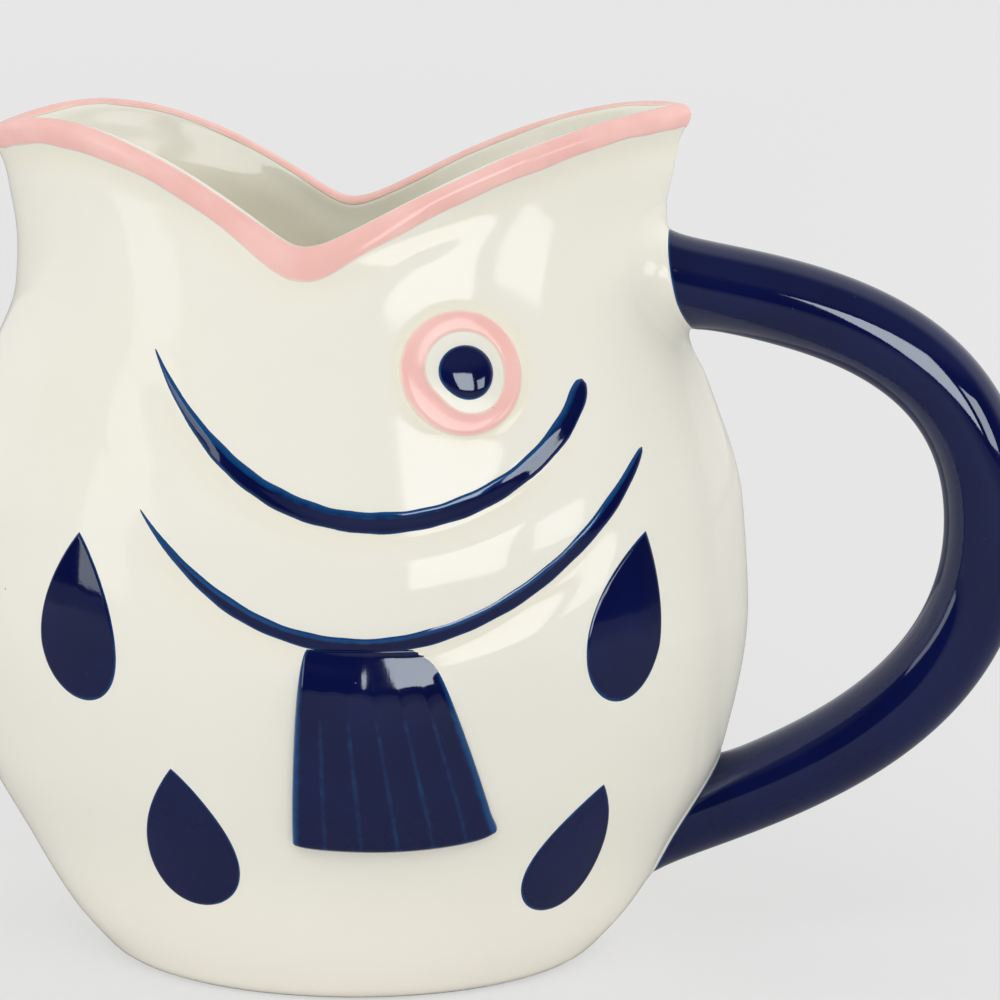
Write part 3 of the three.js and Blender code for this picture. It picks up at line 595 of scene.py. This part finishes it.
class Surface(Nodes):
    """Nodes of a material, placed by the object's own coordinates."""

    def __init__(self, name):
        self.material = bpy.data.materials.new(name)
        self.material.use_nodes = True
        super().__init__(self.material.node_tree)
        self.shader = self.tree.nodes["Principled BSDF"]
        self.coordinate = self.add("ShaderNodeTexCoord").outputs["Object"]

    def noise(self, scale, detail):
        node = self.add("ShaderNodeTexNoise")
        self.link(self.coordinate, node.inputs["Vector"])
        node.inputs["Scale"].default_value = scale
        node.inputs["Detail"].default_value = detail
        return node.outputs["Fac"]

    def attribute(self, name):
        return self.add("ShaderNodeAttribute", attribute_name=name).outputs["Fac"]

    def specks(self, scale, size, share):
        """Small round dots: one in some cells of a grid."""
        node = self.add("ShaderNodeTexVoronoi")
        self.link(self.coordinate, node.inputs["Vector"])
        node.inputs["Scale"].default_value = scale
        split = self.add("ShaderNodeSeparateColor")
        self.link(node.outputs["Color"], split.inputs["Color"])
        chosen = self.math("GREATER_THAN", split.outputs[0], 1 - share)
        near = self.span(node.outputs["Distance"], size, size * 0.5)
        return self.math("MULTIPLY", chosen, near)

    def bump(self, *layers):
        """Bump from (height, distance in metres) layers, one over the other."""
        normal = None
        for height, distance in layers:
            node = self.add("ShaderNodeBump")
            self.link(height, node.inputs["Height"])
            node.inputs["Distance"].default_value = distance
            if normal is not None:
                self.link(normal, node.inputs["Normal"])
            normal = node.outputs["Normal"]
        self.link(normal, self.shader.inputs["Normal"])

    def finish(self, color, roughness, gloss_level):
        self.put(self.shader.inputs["Base Color"], color)
        self.put(self.shader.inputs["Roughness"], roughness)
        self.shader.inputs["IOR"].default_value = 1.5
        self.shader.inputs["Specular IOR Level"].default_value = gloss_level
        return self.material


def cream_glaze():
    """Cream with painted light that makes it paler at the foot and inside, darker where the glaze pools,
    with a few pinholes.
    """
    n = Surface("cream_glaze")
    color = n.mix(n.span(n.noise(16, 3), 0.3, 0.7), srgb(*CREAM), srgb(*CREAM_CLOUD))
    split = n.add("ShaderNodeSeparateXYZ")
    n.link(n.coordinate, split.inputs[0])
    # Painted light: paler within 5 cm of the bottom, standing in for light the lower body lacks
    color = n.mix(n.span(split.outputs["Z"], 0.05, 0.0), color, srgb(*CREAM_FOOT_PAINTED_LIGHT))
    # Painted light: the inside paler, standing in for light that doesn't reach into the jug
    color = n.mix(n.attribute("inside"), color, srgb(*CREAM_INSIDE_PAINTED_LIGHT))
    color = n.mix(n.math("MULTIPLY", n.attribute("pool"), 0.6), color, srgb(*CREAM_POOL))
    color = n.mix(n.specks(95, 0.026, 0.16), color, srgb(*PINHOLE))
    n.bump((n.noise(26, 1.5), 0.0003), (n.noise(160, 2), 0.000012))
    return n.finish(color, n.span(n.noise(40, 2), 0.3, 0.7, 0.06, 0.1), 0.2)


def pink_glaze():
    """Pink that thins out to cream at its edges."""
    n = Surface("pink_glaze")
    edge = n.attribute("edge")
    color = n.mix(n.span(n.noise(90, 3), 0.35, 0.65), srgb(*PINK), srgb(*PINK_CLOUD))
    wander = n.math("MULTIPLY", n.noise(300, 2), 0.5)
    rim = n.span(n.math("SUBTRACT", edge, wander), 0.0, 0.5)
    color = n.mix(rim, srgb(*PINK_EDGE), color)
    color = n.mix(n.specks(260, 0.05, 0.2), color, srgb(*PINK_SPECK))
    n.bump((n.noise(60, 1.5), 0.0001), (n.noise(400, 2), 0.000008))
    return n.finish(color, n.span(n.noise(60, 2), 0.3, 0.7, 0.07, 0.12), 0.22)


def cobalt_glaze():
    """Cobalt that is a lighter blue where it is thin, with small pits that catch the light."""
    n = Surface("cobalt_glaze")
    edge = n.attribute("edge")
    body = n.mix(n.span(n.noise(70, 3), 0.3, 0.75), srgb(*COBALT), srgb(*COBALT_CLOUD))
    wander = n.math("MULTIPLY", n.noise(420, 3), 0.4)
    rim = n.span(n.math("SUBTRACT", edge, wander), -0.1, 0.42)
    color = n.mix(rim, srgb(*COBALT_EDGE), body)
    color = n.mix(n.specks(330, 0.04, 0.1), color, srgb(*COBALT_SPECK))
    n.bump((n.noise(40, 1.5), 0.00015), (n.noise(500, 2), 0.000006),
           (n.specks(330, 0.09, 0.1), 0.00004))
    n.shader.inputs["Specular Tint"].default_value = (0.84, 0.92, 1.0, 1)
    return n.finish(color, n.span(n.noise(50, 2), 0.3, 0.7, 0.04, 0.08), 0.62)


cream, pink, cobalt = cream_glaze(), pink_glaze(), cobalt_glaze()


# ---- Body: outside from the foot to the lip, over it, and down the inside to the floor

def lip_ring():
    """Angles round the jug, the rim's height there, and the height where the lip's crest starts."""
    angle = np.linspace(0, 2 * math.pi, RING_COLUMNS, endpoint=False)
    rim = rim_at(angle)
    return angle, rim, rim - CREST_RADIUS


def jug_body():
    angle, rim, outer_top = lip_ring()
    foot_steps, wall_rows, crest_steps, inner_rows, corner_steps = 4, 170, 10, 90, 6
    rows, pools, inside_painted_light = [], [], []

    def add(points, pool=0.0, inside=0.0):
        rows.append(points)
        pools.append(np.broadcast_to(pool, (RING_COLUMNS,)))
        inside_painted_light.append(np.broadcast_to(inside, (RING_COLUMNS,)))

    for step in range(1, foot_steps + 1):
        turn = step / foot_steps * math.pi / 2
        inset = FOOT_ROUND * (1 - math.sin(turn))
        z = np.full(RING_COLUMNS, FOOT_ROUND * (1 - math.cos(turn)))
        add(body_point(angle, z, inset, inset))
    for row in range(1, wall_rows + 1):
        z = FOOT_ROUND + (outer_top - FOOT_ROUND) * row / wall_rows
        base = body_point(angle, z)
        rise, pool = relief(base, rim)
        add(base + body_normal(angle, z) * rise[:, None], pool)
    bead, _ = relief(body_point(angle, outer_top), rim)
    for step in range(1, crest_steps):
        turn = step / crest_steps * math.pi
        z = outer_top + CREST_RADIUS * math.sin(turn)
        point = inner_point(angle, z, (1 - math.cos(turn)) / 2)
        add(point + body_normal(angle, outer_top) * (bead * math.cos(turn / 2) ** 2)[:, None])
    lowest = FLOOR + INNER_CORNER
    # The inside's painted light grows with depth below the crest
    for row in range(inner_rows + 1):
        z = outer_top + (lowest - outer_top) * row / inner_rows
        depth = outer_top - z
        wall_share = 1 + INNER_SWELL * smooth(depth / INNER_SWELL_DEPTH)
        add(inner_point(angle, z, wall_share), inside=smooth(depth / INSIDE_LIGHT_DEPTH))
    on_wall = inner_point(angle, np.full(RING_COLUMNS, lowest), 1 + INNER_SWELL)
    for step in range(1, corner_steps + 1):
        turn = step / corner_steps * math.pi / 2
        inset = INNER_CORNER * (1 - math.cos(turn))
        point = on_wall * (1 - inset / np.linalg.norm(on_wall, axis=1, keepdims=True))
        point[:, 2] = lowest - INNER_CORNER * math.sin(turn)
        add(point, inside=1.0)
    floor_ring = rows[-1]
    for share in (0.75, 0.5, 0.25):
        add(np.c_[floor_ring[:, :2] * share, floor_ring[:, 2]], inside=1.0)
    points = np.concatenate(rows)
    faces = tube_faces(len(rows), RING_COLUMNS)
    add_end_fans(faces, (len(points), len(points) + 1), (len(rows) - 1) * RING_COLUMNS, RING_COLUMNS)
    points = np.vstack([points, [0, 0, 0], [0, 0, FLOOR]])
    shades = {"pool": np.concatenate(pools + [[0, 0]]), "inside": np.concatenate(inside_painted_light + [[0, 1]])}
    mesh_object("jug_body_glaze", points, faces, ["jug_body"], cream, shades)


def lip_skin():
    """Pink glaze over the lip: thin at both edges, from the outside over the crest to the inside."""
    angle, rim, outer_top = lip_ring()
    outer_rows, crest_steps = 12, 14
    x = body_point(angle, rim)[:, 0]
    band = (LIP_BAND / slope_cosine(x) + LIP_BAND_NOTCH * hump(x, NOTCH_OFFSET, LIP_NOTCH_REACH)
            + LIP_BAND_SPOUT * smooth((NOTCH_OFFSET - x) / LIP_SPOUT_REACH) + waves(0, LIP_WAVES, angle))
    low = rim - band

    def outer_row(row):
        return low + (outer_top - low) * row / outer_rows

    def lift_at(gap):
        return -EDGE_SINK + (GLAZE + EDGE_SINK) * smooth(gap / LIP_EDGE)

    top, edge = [], []
    for row in range(outer_rows + 1):
        z = outer_row(row)
        rise, _ = relief(body_point(angle, z), rim)
        gap = z - low
        top.append(body_point(angle, z) + body_normal(angle, z) * (rise + lift_at(gap))[:, None])
        edge.append(gap)
    bead, _ = relief(body_point(angle, outer_top), rim)
    over_crest = np.radians(waves(CREST_TURN, CREST_WAVES, angle))
    sideways, upwards = body_normal(angle, outer_top), np.array([0, 0, 1])
    for step in range(1, crest_steps + 1):
        turn = over_crest * step / crest_steps
        point = inner_point(angle, outer_top + CREST_RADIUS * np.sin(turn), (1 - np.cos(turn)) / 2)
        out = sideways * (bead * np.cos(turn / 2) ** 2)[:, None]
        gap = (over_crest - turn) * CREST_RADIUS
        face = unit(sideways * np.cos(turn)[:, None] + upwards * np.sin(turn)[:, None])
        top.append(point + out + face * lift_at(gap)[:, None])
        edge.append(gap)
    under = []
    for row in (0, outer_rows):
        z = outer_row(row)
        under.append(body_point(angle, z) - body_normal(angle, z) * LIP_UNDER)
    under.append(inner_point(angle, rim - LIP_CORE_DROP, LIP_CORE_SHARE))
    rings = top + under[::-1]
    edges = np.concatenate(edge + [np.zeros(RING_COLUMNS)] * len(under))
    points = np.concatenate(rings)
    faces = outward(points, tube_faces(len(rings), RING_COLUMNS, wrap_rows=True))
    mesh_object("lip_glaze", points, faces, ["lip_band"], pink, {"edge": edges})


# ---- Skins laid on the flanks

def cobalt_disc(name, patch, outline, half, sizes, lift, shift=0.0):
    """Closed skin over an outline: rings of it at the given sizes, each lifted, over a sunk underside."""
    def place(uv, height):
        return on_patch(patch, uv + [shift, 0], height)

    count, centre = len(outline), np.zeros((1, 2))
    rings = [place(outline * size, lift(size)) for size in sizes]
    under = place(outline * sizes[0], DISC_UNDER)
    points = np.concatenate([under] + rings + [place(centre, lift(0.0)), place(centre, DISC_UNDER)])
    faces = tube_faces(len(rings) + 1, count)
    top_start, hub = len(rings) * count, (len(rings) + 1) * count
    for i in range(count):
        j = (i + 1) % count
        faces.append([top_start + i, top_start + j, hub])
        faces.append([hub + 1, j, i])
    gaps = [np.full(count, (1 - size) * half) for size in sizes]
    edge = np.concatenate([np.zeros(count)] + gaps + [[half, 0]])
    pair(name, points, faces, cobalt, {"edge": edge})


def scales():
    turn = np.linspace(0, 2 * math.pi, SCALE_SIDES, endpoint=False)
    sizes = [1.0, 0.985, 0.965, 0.94, 0.91, 0.86, 0.76, 0.62, 0.45, 0.25]
    for name, (x, height, length, width, tilt, bow) in SCALES.items():
        swell = np.sin(turn) * np.abs(np.sin(turn / 2)) ** SCALE_FULLNESS
        u = width / 2 * swell / np.abs(swell).max() + bow * np.cos(turn) ** 2
        v = length / 2 * np.cos(turn)
        t = math.radians(tilt)
        outline = np.stack([u * math.cos(t) + v * math.sin(t), v * math.cos(t) - u * math.sin(t)], -1)
        half = width / 2
        cobalt_disc(name, flank_patch(x, height), outline, half, sizes,
                    lambda size: glaze_lift((1 - size) * half))


def painted_line(name, course, width, opening, closing):
    """Brushed line: its width opens and closes, and its edges thin out."""
    steps, columns = 150, 11
    seen, length = even_steps(course, steps + 1)
    angle = left_angle(seen[:, 0], seen[:, 1])
    place = body_point(angle, seen[:, 1])
    side = unit(np.cross(body_normal(angle, seen[:, 1]), unit(np.gradient(place, axis=0))))
    share = np.linspace(0, 1, steps + 1)
    fill = np.sin(math.pi / 2 * np.minimum(1, share / opening)) * rounded((1 - share) / closing)
    half = (LINE_TIP + (width - LINE_TIP) * fill) / 2
    half = half * waves(1, LINE_WAVES, share)
    half[-1] = LINE_END
    part = np.sin(np.linspace(-1, 1, columns) * math.pi / 2)
    flat = place[:, None] + side[:, None] * (half[:, None] * part[None])[..., None]
    gap = half[:, None] * (1 - np.abs(part[None]))
    gap = np.minimum(gap, np.minimum(share, 1 - share)[:, None] * length + LINE_LEAST_GAP)
    top = onto_body(flat, glaze_lift(gap, LINE_EDGE))
    points, faces = grid_shell(top, onto_body(flat, SHEET_UNDER))
    depth = LINE_START_DEPTH + (1 - LINE_START_DEPTH) * smooth(share / LINE_START_SHARE)[:, None]
    upper = flat[..., 2] > place[:, None, 2]
    edges = gap * depth * np.where(upper, LINE_UPPER_DEPTH, 1.0)
    edges = np.concatenate([edges.ravel(), np.zeros(gap.size)])
    pair(name, points, faces, cobalt, {"edge": edges})


def eyes():
    turn = np.linspace(0, 2 * math.pi, EYE_SIDES, endpoint=False)

    def outline(width, height, shift, uneven):
        """Ellipse, pushed in or out round some directions."""
        points = np.stack([shift + width / 2 * np.cos(turn), height / 2 * np.sin(turn)], -1)
        for towards, amount, reach in uneven:
            gap = (np.degrees(turn) - towards + 180) % 360 - 180
            points = points * (1 + amount * hump(gap, 0, reach))[:, None]
        return points

    inner = outline(*EYE_WHITE, EYE_WHITE_UNEVEN)
    outer = outline(*EYE_RING, EYE_RING_UNEVEN)
    thickness = (EYE_RING[0] - EYE_WHITE[0]) / 2
    rows, edge = [], []
    steps = 18
    for step in range(steps + 1):
        share = step / steps
        gap = min(share, 1 - share) * thickness
        lift = float(glaze_lift(gap, EYE_RING_EDGE)) + EYE_RING_DOME * math.sin(math.pi * share)
        rows.append(on_patch(eye_patch, inner + (outer - inner) * share, lift))
        edge.append(np.full(len(turn), gap))
    for ring in (outer, inner):
        rows.append(on_patch(eye_patch, ring, SHEET_UNDER))
        edge.append(np.zeros(len(turn)))
    faces = tube_faces(len(rows), len(turn), wrap_rows=True)
    pair("eye_ring", np.concatenate(rows), faces, pink, {"edge": np.concatenate(edge)})

    width, height, shift = PUPIL
    sizes = [1.0, 0.98, 0.95, 0.91, 0.85, 0.77, 0.67, 0.55, 0.4, 0.2]
    cobalt_disc("pupil", eye_patch, outline(width, height, 0.0, PUPIL_UNEVEN), width / 2, sizes,
                lambda size: -EDGE_SINK + PUPIL_DOME * math.sqrt(max(0, 1 - size ** 2)), shift)


def fins():
    """Fluted plate that rises out of the gill line: thin at its top, full from near its middle down."""
    patch = flank_patch(FIN_X, FIN_MIDDLE_HEIGHT)
    rows, columns = 80, 144
    down = np.linspace(0, 1, rows + 1)[:, None]
    across = np.linspace(0, 1, columns + 1)[None]
    width = FIN_TOP_WIDTH + (FIN_BOTTOM_WIDTH - FIN_TOP_WIDTH) * down ** FIN_FLARE
    (front, front_reach), (back, back_reach) = FIN_FRONT_CORNER, FIN_BACK_CORNER
    corners = np.exp(-across / front_reach) * front + np.exp(-(1 - across) / back_reach) * back
    hem = down * (FIN_HEM * np.sin(math.pi * across) - FIN_HEM_RISE * (across - 0.5))
    hem = hem - ramp(down, FIN_CORNER_FROM, FIN_CORNER_SPAN) * corners
    u = (FIN_TOP_SHIFT + FIN_SWEEP * down + width * (across - 0.5)
         + FIN_SPREAD * down ** FIN_SPREAD_CURVE * across)
    v = FIN_HEIGHT * (0.5 - down) - hem + FIN_TOP_RAISE * (1 - down)
    uv = np.stack(np.broadcast_arrays(u, v), -1)

    gap_side = np.minimum(across, 1 - across) * width
    gap_end = np.minimum(down + FIN_TOP_TUCK, 1 - down) * FIN_HEIGHT
    gap = np.minimum(gap_side, gap_end)
    flute = np.abs(np.sin(math.pi * FIN_FLUTES * across)) ** FIN_FLUTE_CURVE
    full = FIN_THIN + FIN_THICKER * np.sin(math.pi / 2 * np.minimum(1, down / FIN_FULL_AT))
    crown = (width * (across - FIN_CROWN_MIDDLE)) ** 2
    full = full - FIN_CROWN * (1 - FIN_CROWN_FADE * down) * crown
    crease = np.tanh((u - FIN_CREASE_PLACE) / FIN_CREASE_WIDTH)
    full = full - FIN_CREASE * crease * hump(down, FIN_CREASE_DOWN, FIN_CREASE_REACH)
    full = np.where(full > FIN_LEAST, full, FIN_LEAST * np.exp((full - FIN_LEAST) / FIN_LEAST))
    flute_depth = (FIN_FLUTE_DEPTH * flute * smooth(gap_end / FIN_FLUTE_END)
                   * ramp(down, FIN_FLUTE_FROM, FIN_FLUTE_SPAN))
    lift = -EDGE_SINK + rounded(gap / FIN_SHOULDER) * (full - flute_depth)
    points, faces = grid_shell(on_patch(patch, uv, lift), on_patch(patch, uv, SHEET_UNDER))

    side_depth = gap_side * (FIN_SIDE_DEPTH - FIN_SIDE_LESS * smooth(down / FIN_SIDE_SPAN))
    edge = np.minimum(np.minimum(side_depth, gap_end * FIN_END_DEPTH), FIN_MOST_DEPTH)
    edge = edge * (1 - FIN_RIDGE_LESS * ramp(1 - flute, FIN_RIDGE_FROM, FIN_RIDGE_SPAN)
                   * ramp(down, FIN_FLUTE_FROM, FIN_RIDGE_DOWN))
    edges = np.concatenate([edge.ravel(), np.zeros(edge.size)])
    pair("fin", points, faces, cobalt, {"edge": edges})


# ---- Handle and the slip that lutes it on

def handle_path(count):
    reach = BELLY_LENGTH / 2 + FINGER_ROOM + HANDLE_THICKNESS / 2

    def seat(z):
        return np.array([float(middle(z) + half_length(z)) + HANDLE_SEAT, z])

    def lead(point, angle, length):
        a = math.radians(angle)
        return point + np.array([math.cos(a), math.sin(a)]) * length

    start, end = seat(HANDLE_TOP_HEIGHT), seat(HANDLE_BOTTOM_HEIGHT)
    bow = np.array([reach, HANDLE_BOW_HEIGHT])
    t = np.linspace(0, 1, CURVE_STEPS)
    first = bezier([start, lead(start, HANDLE_TOP_ANGLE, HANDLE_TOP_LEAD),
                    bow + [0, HANDLE_SHOULDER_PULL], bow], t)
    second = bezier([bow, bow - [0, HANDLE_WAIST_PULL],
                     lead(end, HANDLE_BOTTOM_ANGLE, HANDLE_BOTTOM_LEAD), end], t)
    course = np.vstack([first, second[1:]])
    run = run_along(course)
    at = np.linspace(0, run[-1], count)
    return np.stack([np.interp(at, run, course[:, k]) for k in (0, 1)], -1), run[-1]


handle_turn = np.linspace(0, 2 * math.pi, HANDLE_SIDES, endpoint=False)
handle_course, handle_length = handle_path(HANDLE_STEPS)
tangents = unit(np.gradient(handle_course, axis=0))


def ring_at(index, radius):
    """Circle square to the handle's course, its first point on the outside of the loop."""
    t = tangents[index]
    up = np.array([-t[1], 0, t[0]])
    centre = np.array([handle_course[index][0], 0, handle_course[index][1]])
    return centre + radius * (np.cos(handle_turn)[:, None] * up
                              + np.sin(handle_turn)[:, None] * np.array([0, 1, 0]))


def surface_x(y, z):
    share = np.minimum(1, (np.abs(y) / half_depth(z)) ** (2 / pinch(z)))
    return middle(z) + half_length(z) * np.sqrt(1 - share)


def upper_seat_x(y, z):
    """The cobalt's start on the neck: it stands further off the neck at its lower side."""
    return middle(z) + half_length(z) + UPPER_SEAT_GAP + UPPER_SEAT_SLANT * (HANDLE_TOP_HEIGHT - z)


def lower_seat_x(y, z):
    return surface_x(y, z) + LOWER_SEAT_GAP


def meet(points, direction, face, offset=0.0):
    """Distance along a direction from each point to where it crosses the face."""
    near, far = np.full(len(points), -SEARCH_REACH), np.full(len(points), SEARCH_REACH)
    for _ in range(SEARCH_ROUNDS):
        reach = (near + far) / 2
        at = points + direction * reach[:, None]
        past = at[:, 0] > face(at[:, 1], at[:, 2]) + offset
        far = np.where(past, reach, far)
        near = np.where(past, near, reach)
    return near


def handle():
    """Cobalt loop whose ends meet their seats. Returns its end rings and the directions towards it."""
    radius = HANDLE_THICKNESS / 2
    last = len(handle_course) - 1
    out = [np.array([tangents[0][0], 0, tangents[0][1]]), -np.array([tangents[-1][0], 0, tangents[-1][1]])]
    shifts = [meet(ring_at(0, radius), out[0], upper_seat_x),
              meet(ring_at(last, radius), out[1], lower_seat_x)]
    rings, edges = [], []
    for i in range(last + 1):
        share = i / last
        t = np.array([tangents[i][0], 0, tangents[i][1]])
        fade_start = max(0, 1 - share * handle_length / HANDLE_BLEND)
        fade_end = max(0, 1 - (1 - share) * handle_length / HANDLE_BLEND)
        ring = ring_at(i, radius)
        ring = ring + t * (fade_start * shifts[0])[:, None] - t * (fade_end * shifts[1])[:, None]
        rings.append(ring)
        edges.append(np.full(HANDLE_SIDES, min(share, 1 - share) * handle_length))
    sunk = []
    for k, ring in ((0, rings[0]), (1, rings[-1])):
        centre = ring.mean(0)
        sunk.append(centre + (ring - centre) * HANDLE_PLUG_SIZE - out[k] * HANDLE_PLUG_DEPTH)
    ends = rings[0], rings[-1]
    rings = [sunk[0]] + rings + [sunk[1]]
    points = np.concatenate(rings)
    faces = tube_faces(len(rings), HANDLE_SIDES)
    add_end_fans(faces, (len(points), len(points) + 1), (len(rings) - 1) * HANDLE_SIDES, HANDLE_SIDES)
    points = np.vstack([points, sunk[0].mean(0), sunk[1].mean(0)])
    plain = [np.zeros(HANDLE_SIDES)]
    edge = np.concatenate(plain + edges + plain + [[0, 0]])
    mesh_object("handle_glaze", points, outward(points, faces), ["handle"], cobalt,
                {"edge": edge})
    return ends, out


def slip(name, ring, out, fillet, collar):
    """Cream fillet from the body's surface to the start of the cobalt, with a soft collar at its foot."""
    centre = ring.mean(0)
    spokes = unit(ring - centre - out * ((ring - centre) @ out)[:, None])
    foot = ring + out * meet(ring, out, surface_x)[:, None]
    wide = ring + spokes * fillet
    wide = wide + out * meet(wide, out, surface_x, -SLIP_SINK)[:, None]
    bend = foot + (wide - foot) * collar
    bend = bend + out * (meet(bend, out, surface_x, SLIP_COLLAR))[:, None]
    rows = []
    steps = 18
    for step in range(steps + 1):
        t = step / steps
        rows.append((1 - t) ** 2 * wide + 2 * t * (1 - t) * bend + t * t * ring)
    rows.append(ring - spokes * SLIP_WALL)
    rows.append(foot - spokes * SLIP_WALL - out * SLIP_FOOT_DEPTH)
    rows.append(wide - out * SLIP_EDGE_DEPTH)
    points = np.concatenate(rows)
    faces = outward(points, tube_faces(len(rows), len(ring), wrap_rows=True))
    plain = np.zeros(len(points))
    mesh_object(f"{name}_glaze", points, faces, [name], cream,
                {"pool": plain, "inside": plain})


# ---- Floor, light and camera

def floor():
    """Pale paper. The camera sees it mostly as a glow, with a painted shadow that darkens it towards the
    jug, and the rest keeps the jug's shadow.
    """
    mesh = bpy.data.meshes.new("floor")
    size = FLOOR_HALF_SIZE
    corners = [(-size, -size, 0), (size, -size, 0), (size, size, 0), (-size, size, 0)]
    mesh.from_pydata(corners, [], [(0, 1, 2, 3)])
    table = bpy.data.objects.new("floor", mesh)
    bpy.context.scene.collection.objects.link(table)
    n = Surface("floor_paper")
    paper = n.mix(n.noise(3, 2), srgb(*PAPER), srgb(*PAPER_CLOUD))
    path = n.add("ShaderNodeLightPath")
    n.finish(n.mix(path.outputs["Is Glossy Ray"], paper, srgb(*PAPER_IN_GLOSS)), 0.9, 0.1)
    glow = n.add("ShaderNodeEmission")
    # Painted shadow: the glow the camera sees darkens towards the jug
    away = n.add("ShaderNodeVectorMath", operation="LENGTH")
    n.link(n.coordinate, away.inputs[0])
    n.link(n.mix(n.span(away.outputs["Value"], 0.0, FLOOR_PAINTED_SHADOW_REACH), srgb(*PAPER_NEAR_PAINTED_SHADOW), srgb(*PAPER_FAR)),
           glow.inputs["Color"])
    blend = n.add("ShaderNodeMixShader")
    n.link(n.math("MULTIPLY", path.outputs["Is Camera Ray"], FLOOR_PLAIN_SHARE), blend.inputs["Fac"])
    n.link(n.shader.outputs["BSDF"], blend.inputs[1])
    n.link(glow.outputs["Emission"], blend.inputs[2])
    n.link(blend.outputs["Shader"], n.tree.nodes["Material Output"].inputs["Surface"])
    table.data.materials.append(n.material)


def direction(azimuth, elevation):
    a, e = math.radians(azimuth), math.radians(elevation)
    return Vector((math.sin(a) * math.cos(e), -math.cos(a) * math.cos(e), math.sin(e)))


def place_facing(thing, target, azimuth, elevation, distance):
    """Sets a lamp or camera at a distance from its target and turns it towards it."""
    back = direction(azimuth, elevation)
    thing.location = Vector(target) + back * distance
    thing.rotation_mode = "QUATERNION"
    thing.rotation_quaternion = back.to_track_quat("Z", "Y")
    bpy.context.scene.collection.objects.link(thing)


def area_lamp(name, azimuth, elevation, distance, width, height, radiance):
    data = bpy.data.lights.new(name, "AREA")
    data.shape = "RECTANGLE"
    data.size, data.size_y = width, height
    data.energy = radiance * math.pi * width * height
    lamp = bpy.data.objects.new(name, data)
    place_facing(lamp, (0, 0, LAMP_AIM_HEIGHT), azimuth, elevation, distance)
    lamp.visible_camera = False
    return lamp


def world():
    surroundings = bpy.data.worlds.new("studio")
    bpy.context.scene.world = surroundings
    surroundings.use_nodes = True
    n = Nodes(surroundings.node_tree)
    background = n.tree.nodes["Background"]
    split = n.add("ShaderNodeSeparateXYZ")
    n.link(n.add("ShaderNodeTexCoord").outputs["Generated"], split.inputs[0])
    front = n.span(split.outputs["Y"], *ROOM_FRONT, 1.0, 0.0)
    low = n.span(split.outputs["Z"], *ROOM_LOW, 1.0, 0.0)
    dark = n.math("MULTIPLY", front, low)
    behind = n.span(split.outputs["Y"], *ROOM_BEHIND, ROOM_DIM, ROOM_BACKDROP)
    seen = n.add("ShaderNodeMapRange")
    n.link(dark, seen.inputs["Value"])
    n.link(behind, seen.inputs["To Min"])
    seen.inputs["To Max"].default_value = ROOM_DARK
    path = n.add("ShaderNodeLightPath")
    level = n.mix(path.outputs["Is Glossy Ray"], WORLD_LIGHT, seen.outputs["Result"], "FLOAT")
    level = n.mix(path.outputs["Is Camera Ray"], level, BACKDROP_LEVEL, "FLOAT")
    n.link(level, background.inputs["Strength"])
    background.inputs["Color"].default_value = (1, 1, 1, 1)


def camera():
    data = bpy.data.cameras.new("camera")
    data.sensor_width = SENSOR_WIDTH
    data.lens = FOCAL_PIXELS * SENSOR_WIDTH / PICTURE_PIXELS
    data.clip_start, data.clip_end = 0.01, 100
    eye = bpy.data.objects.new("camera", data)
    place_facing(eye, CAMERA_TARGET, CAMERA_AZIMUTH, CAMERA_ELEVATION, CAMERA_DISTANCE)
    bpy.context.scene.camera = eye


# ---- The scene

jug_body()
lip_skin()
scales()
for line_name, line_settings in LINES.items():
    painted_line(line_name, *line_settings)
eyes()
fins()
(upper_ring, lower_ring), (upper_out, lower_out) = handle()
slip("handle_joint_upper", upper_ring, upper_out, *UPPER_SLIP)
slip("handle_joint_lower", lower_ring, lower_out, *LOWER_SLIP)
floor()
# Boxes that only the gloss shows, and lamps that only light
for settings in GLOSS_BOXES:
    area_lamp(*settings).visible_diffuse = False
for settings in FILL_LAMPS:
    area_lamp(*settings).visible_glossy = False
world()
camera()

bpy.context.scene.view_settings.view_transform = "Standard"
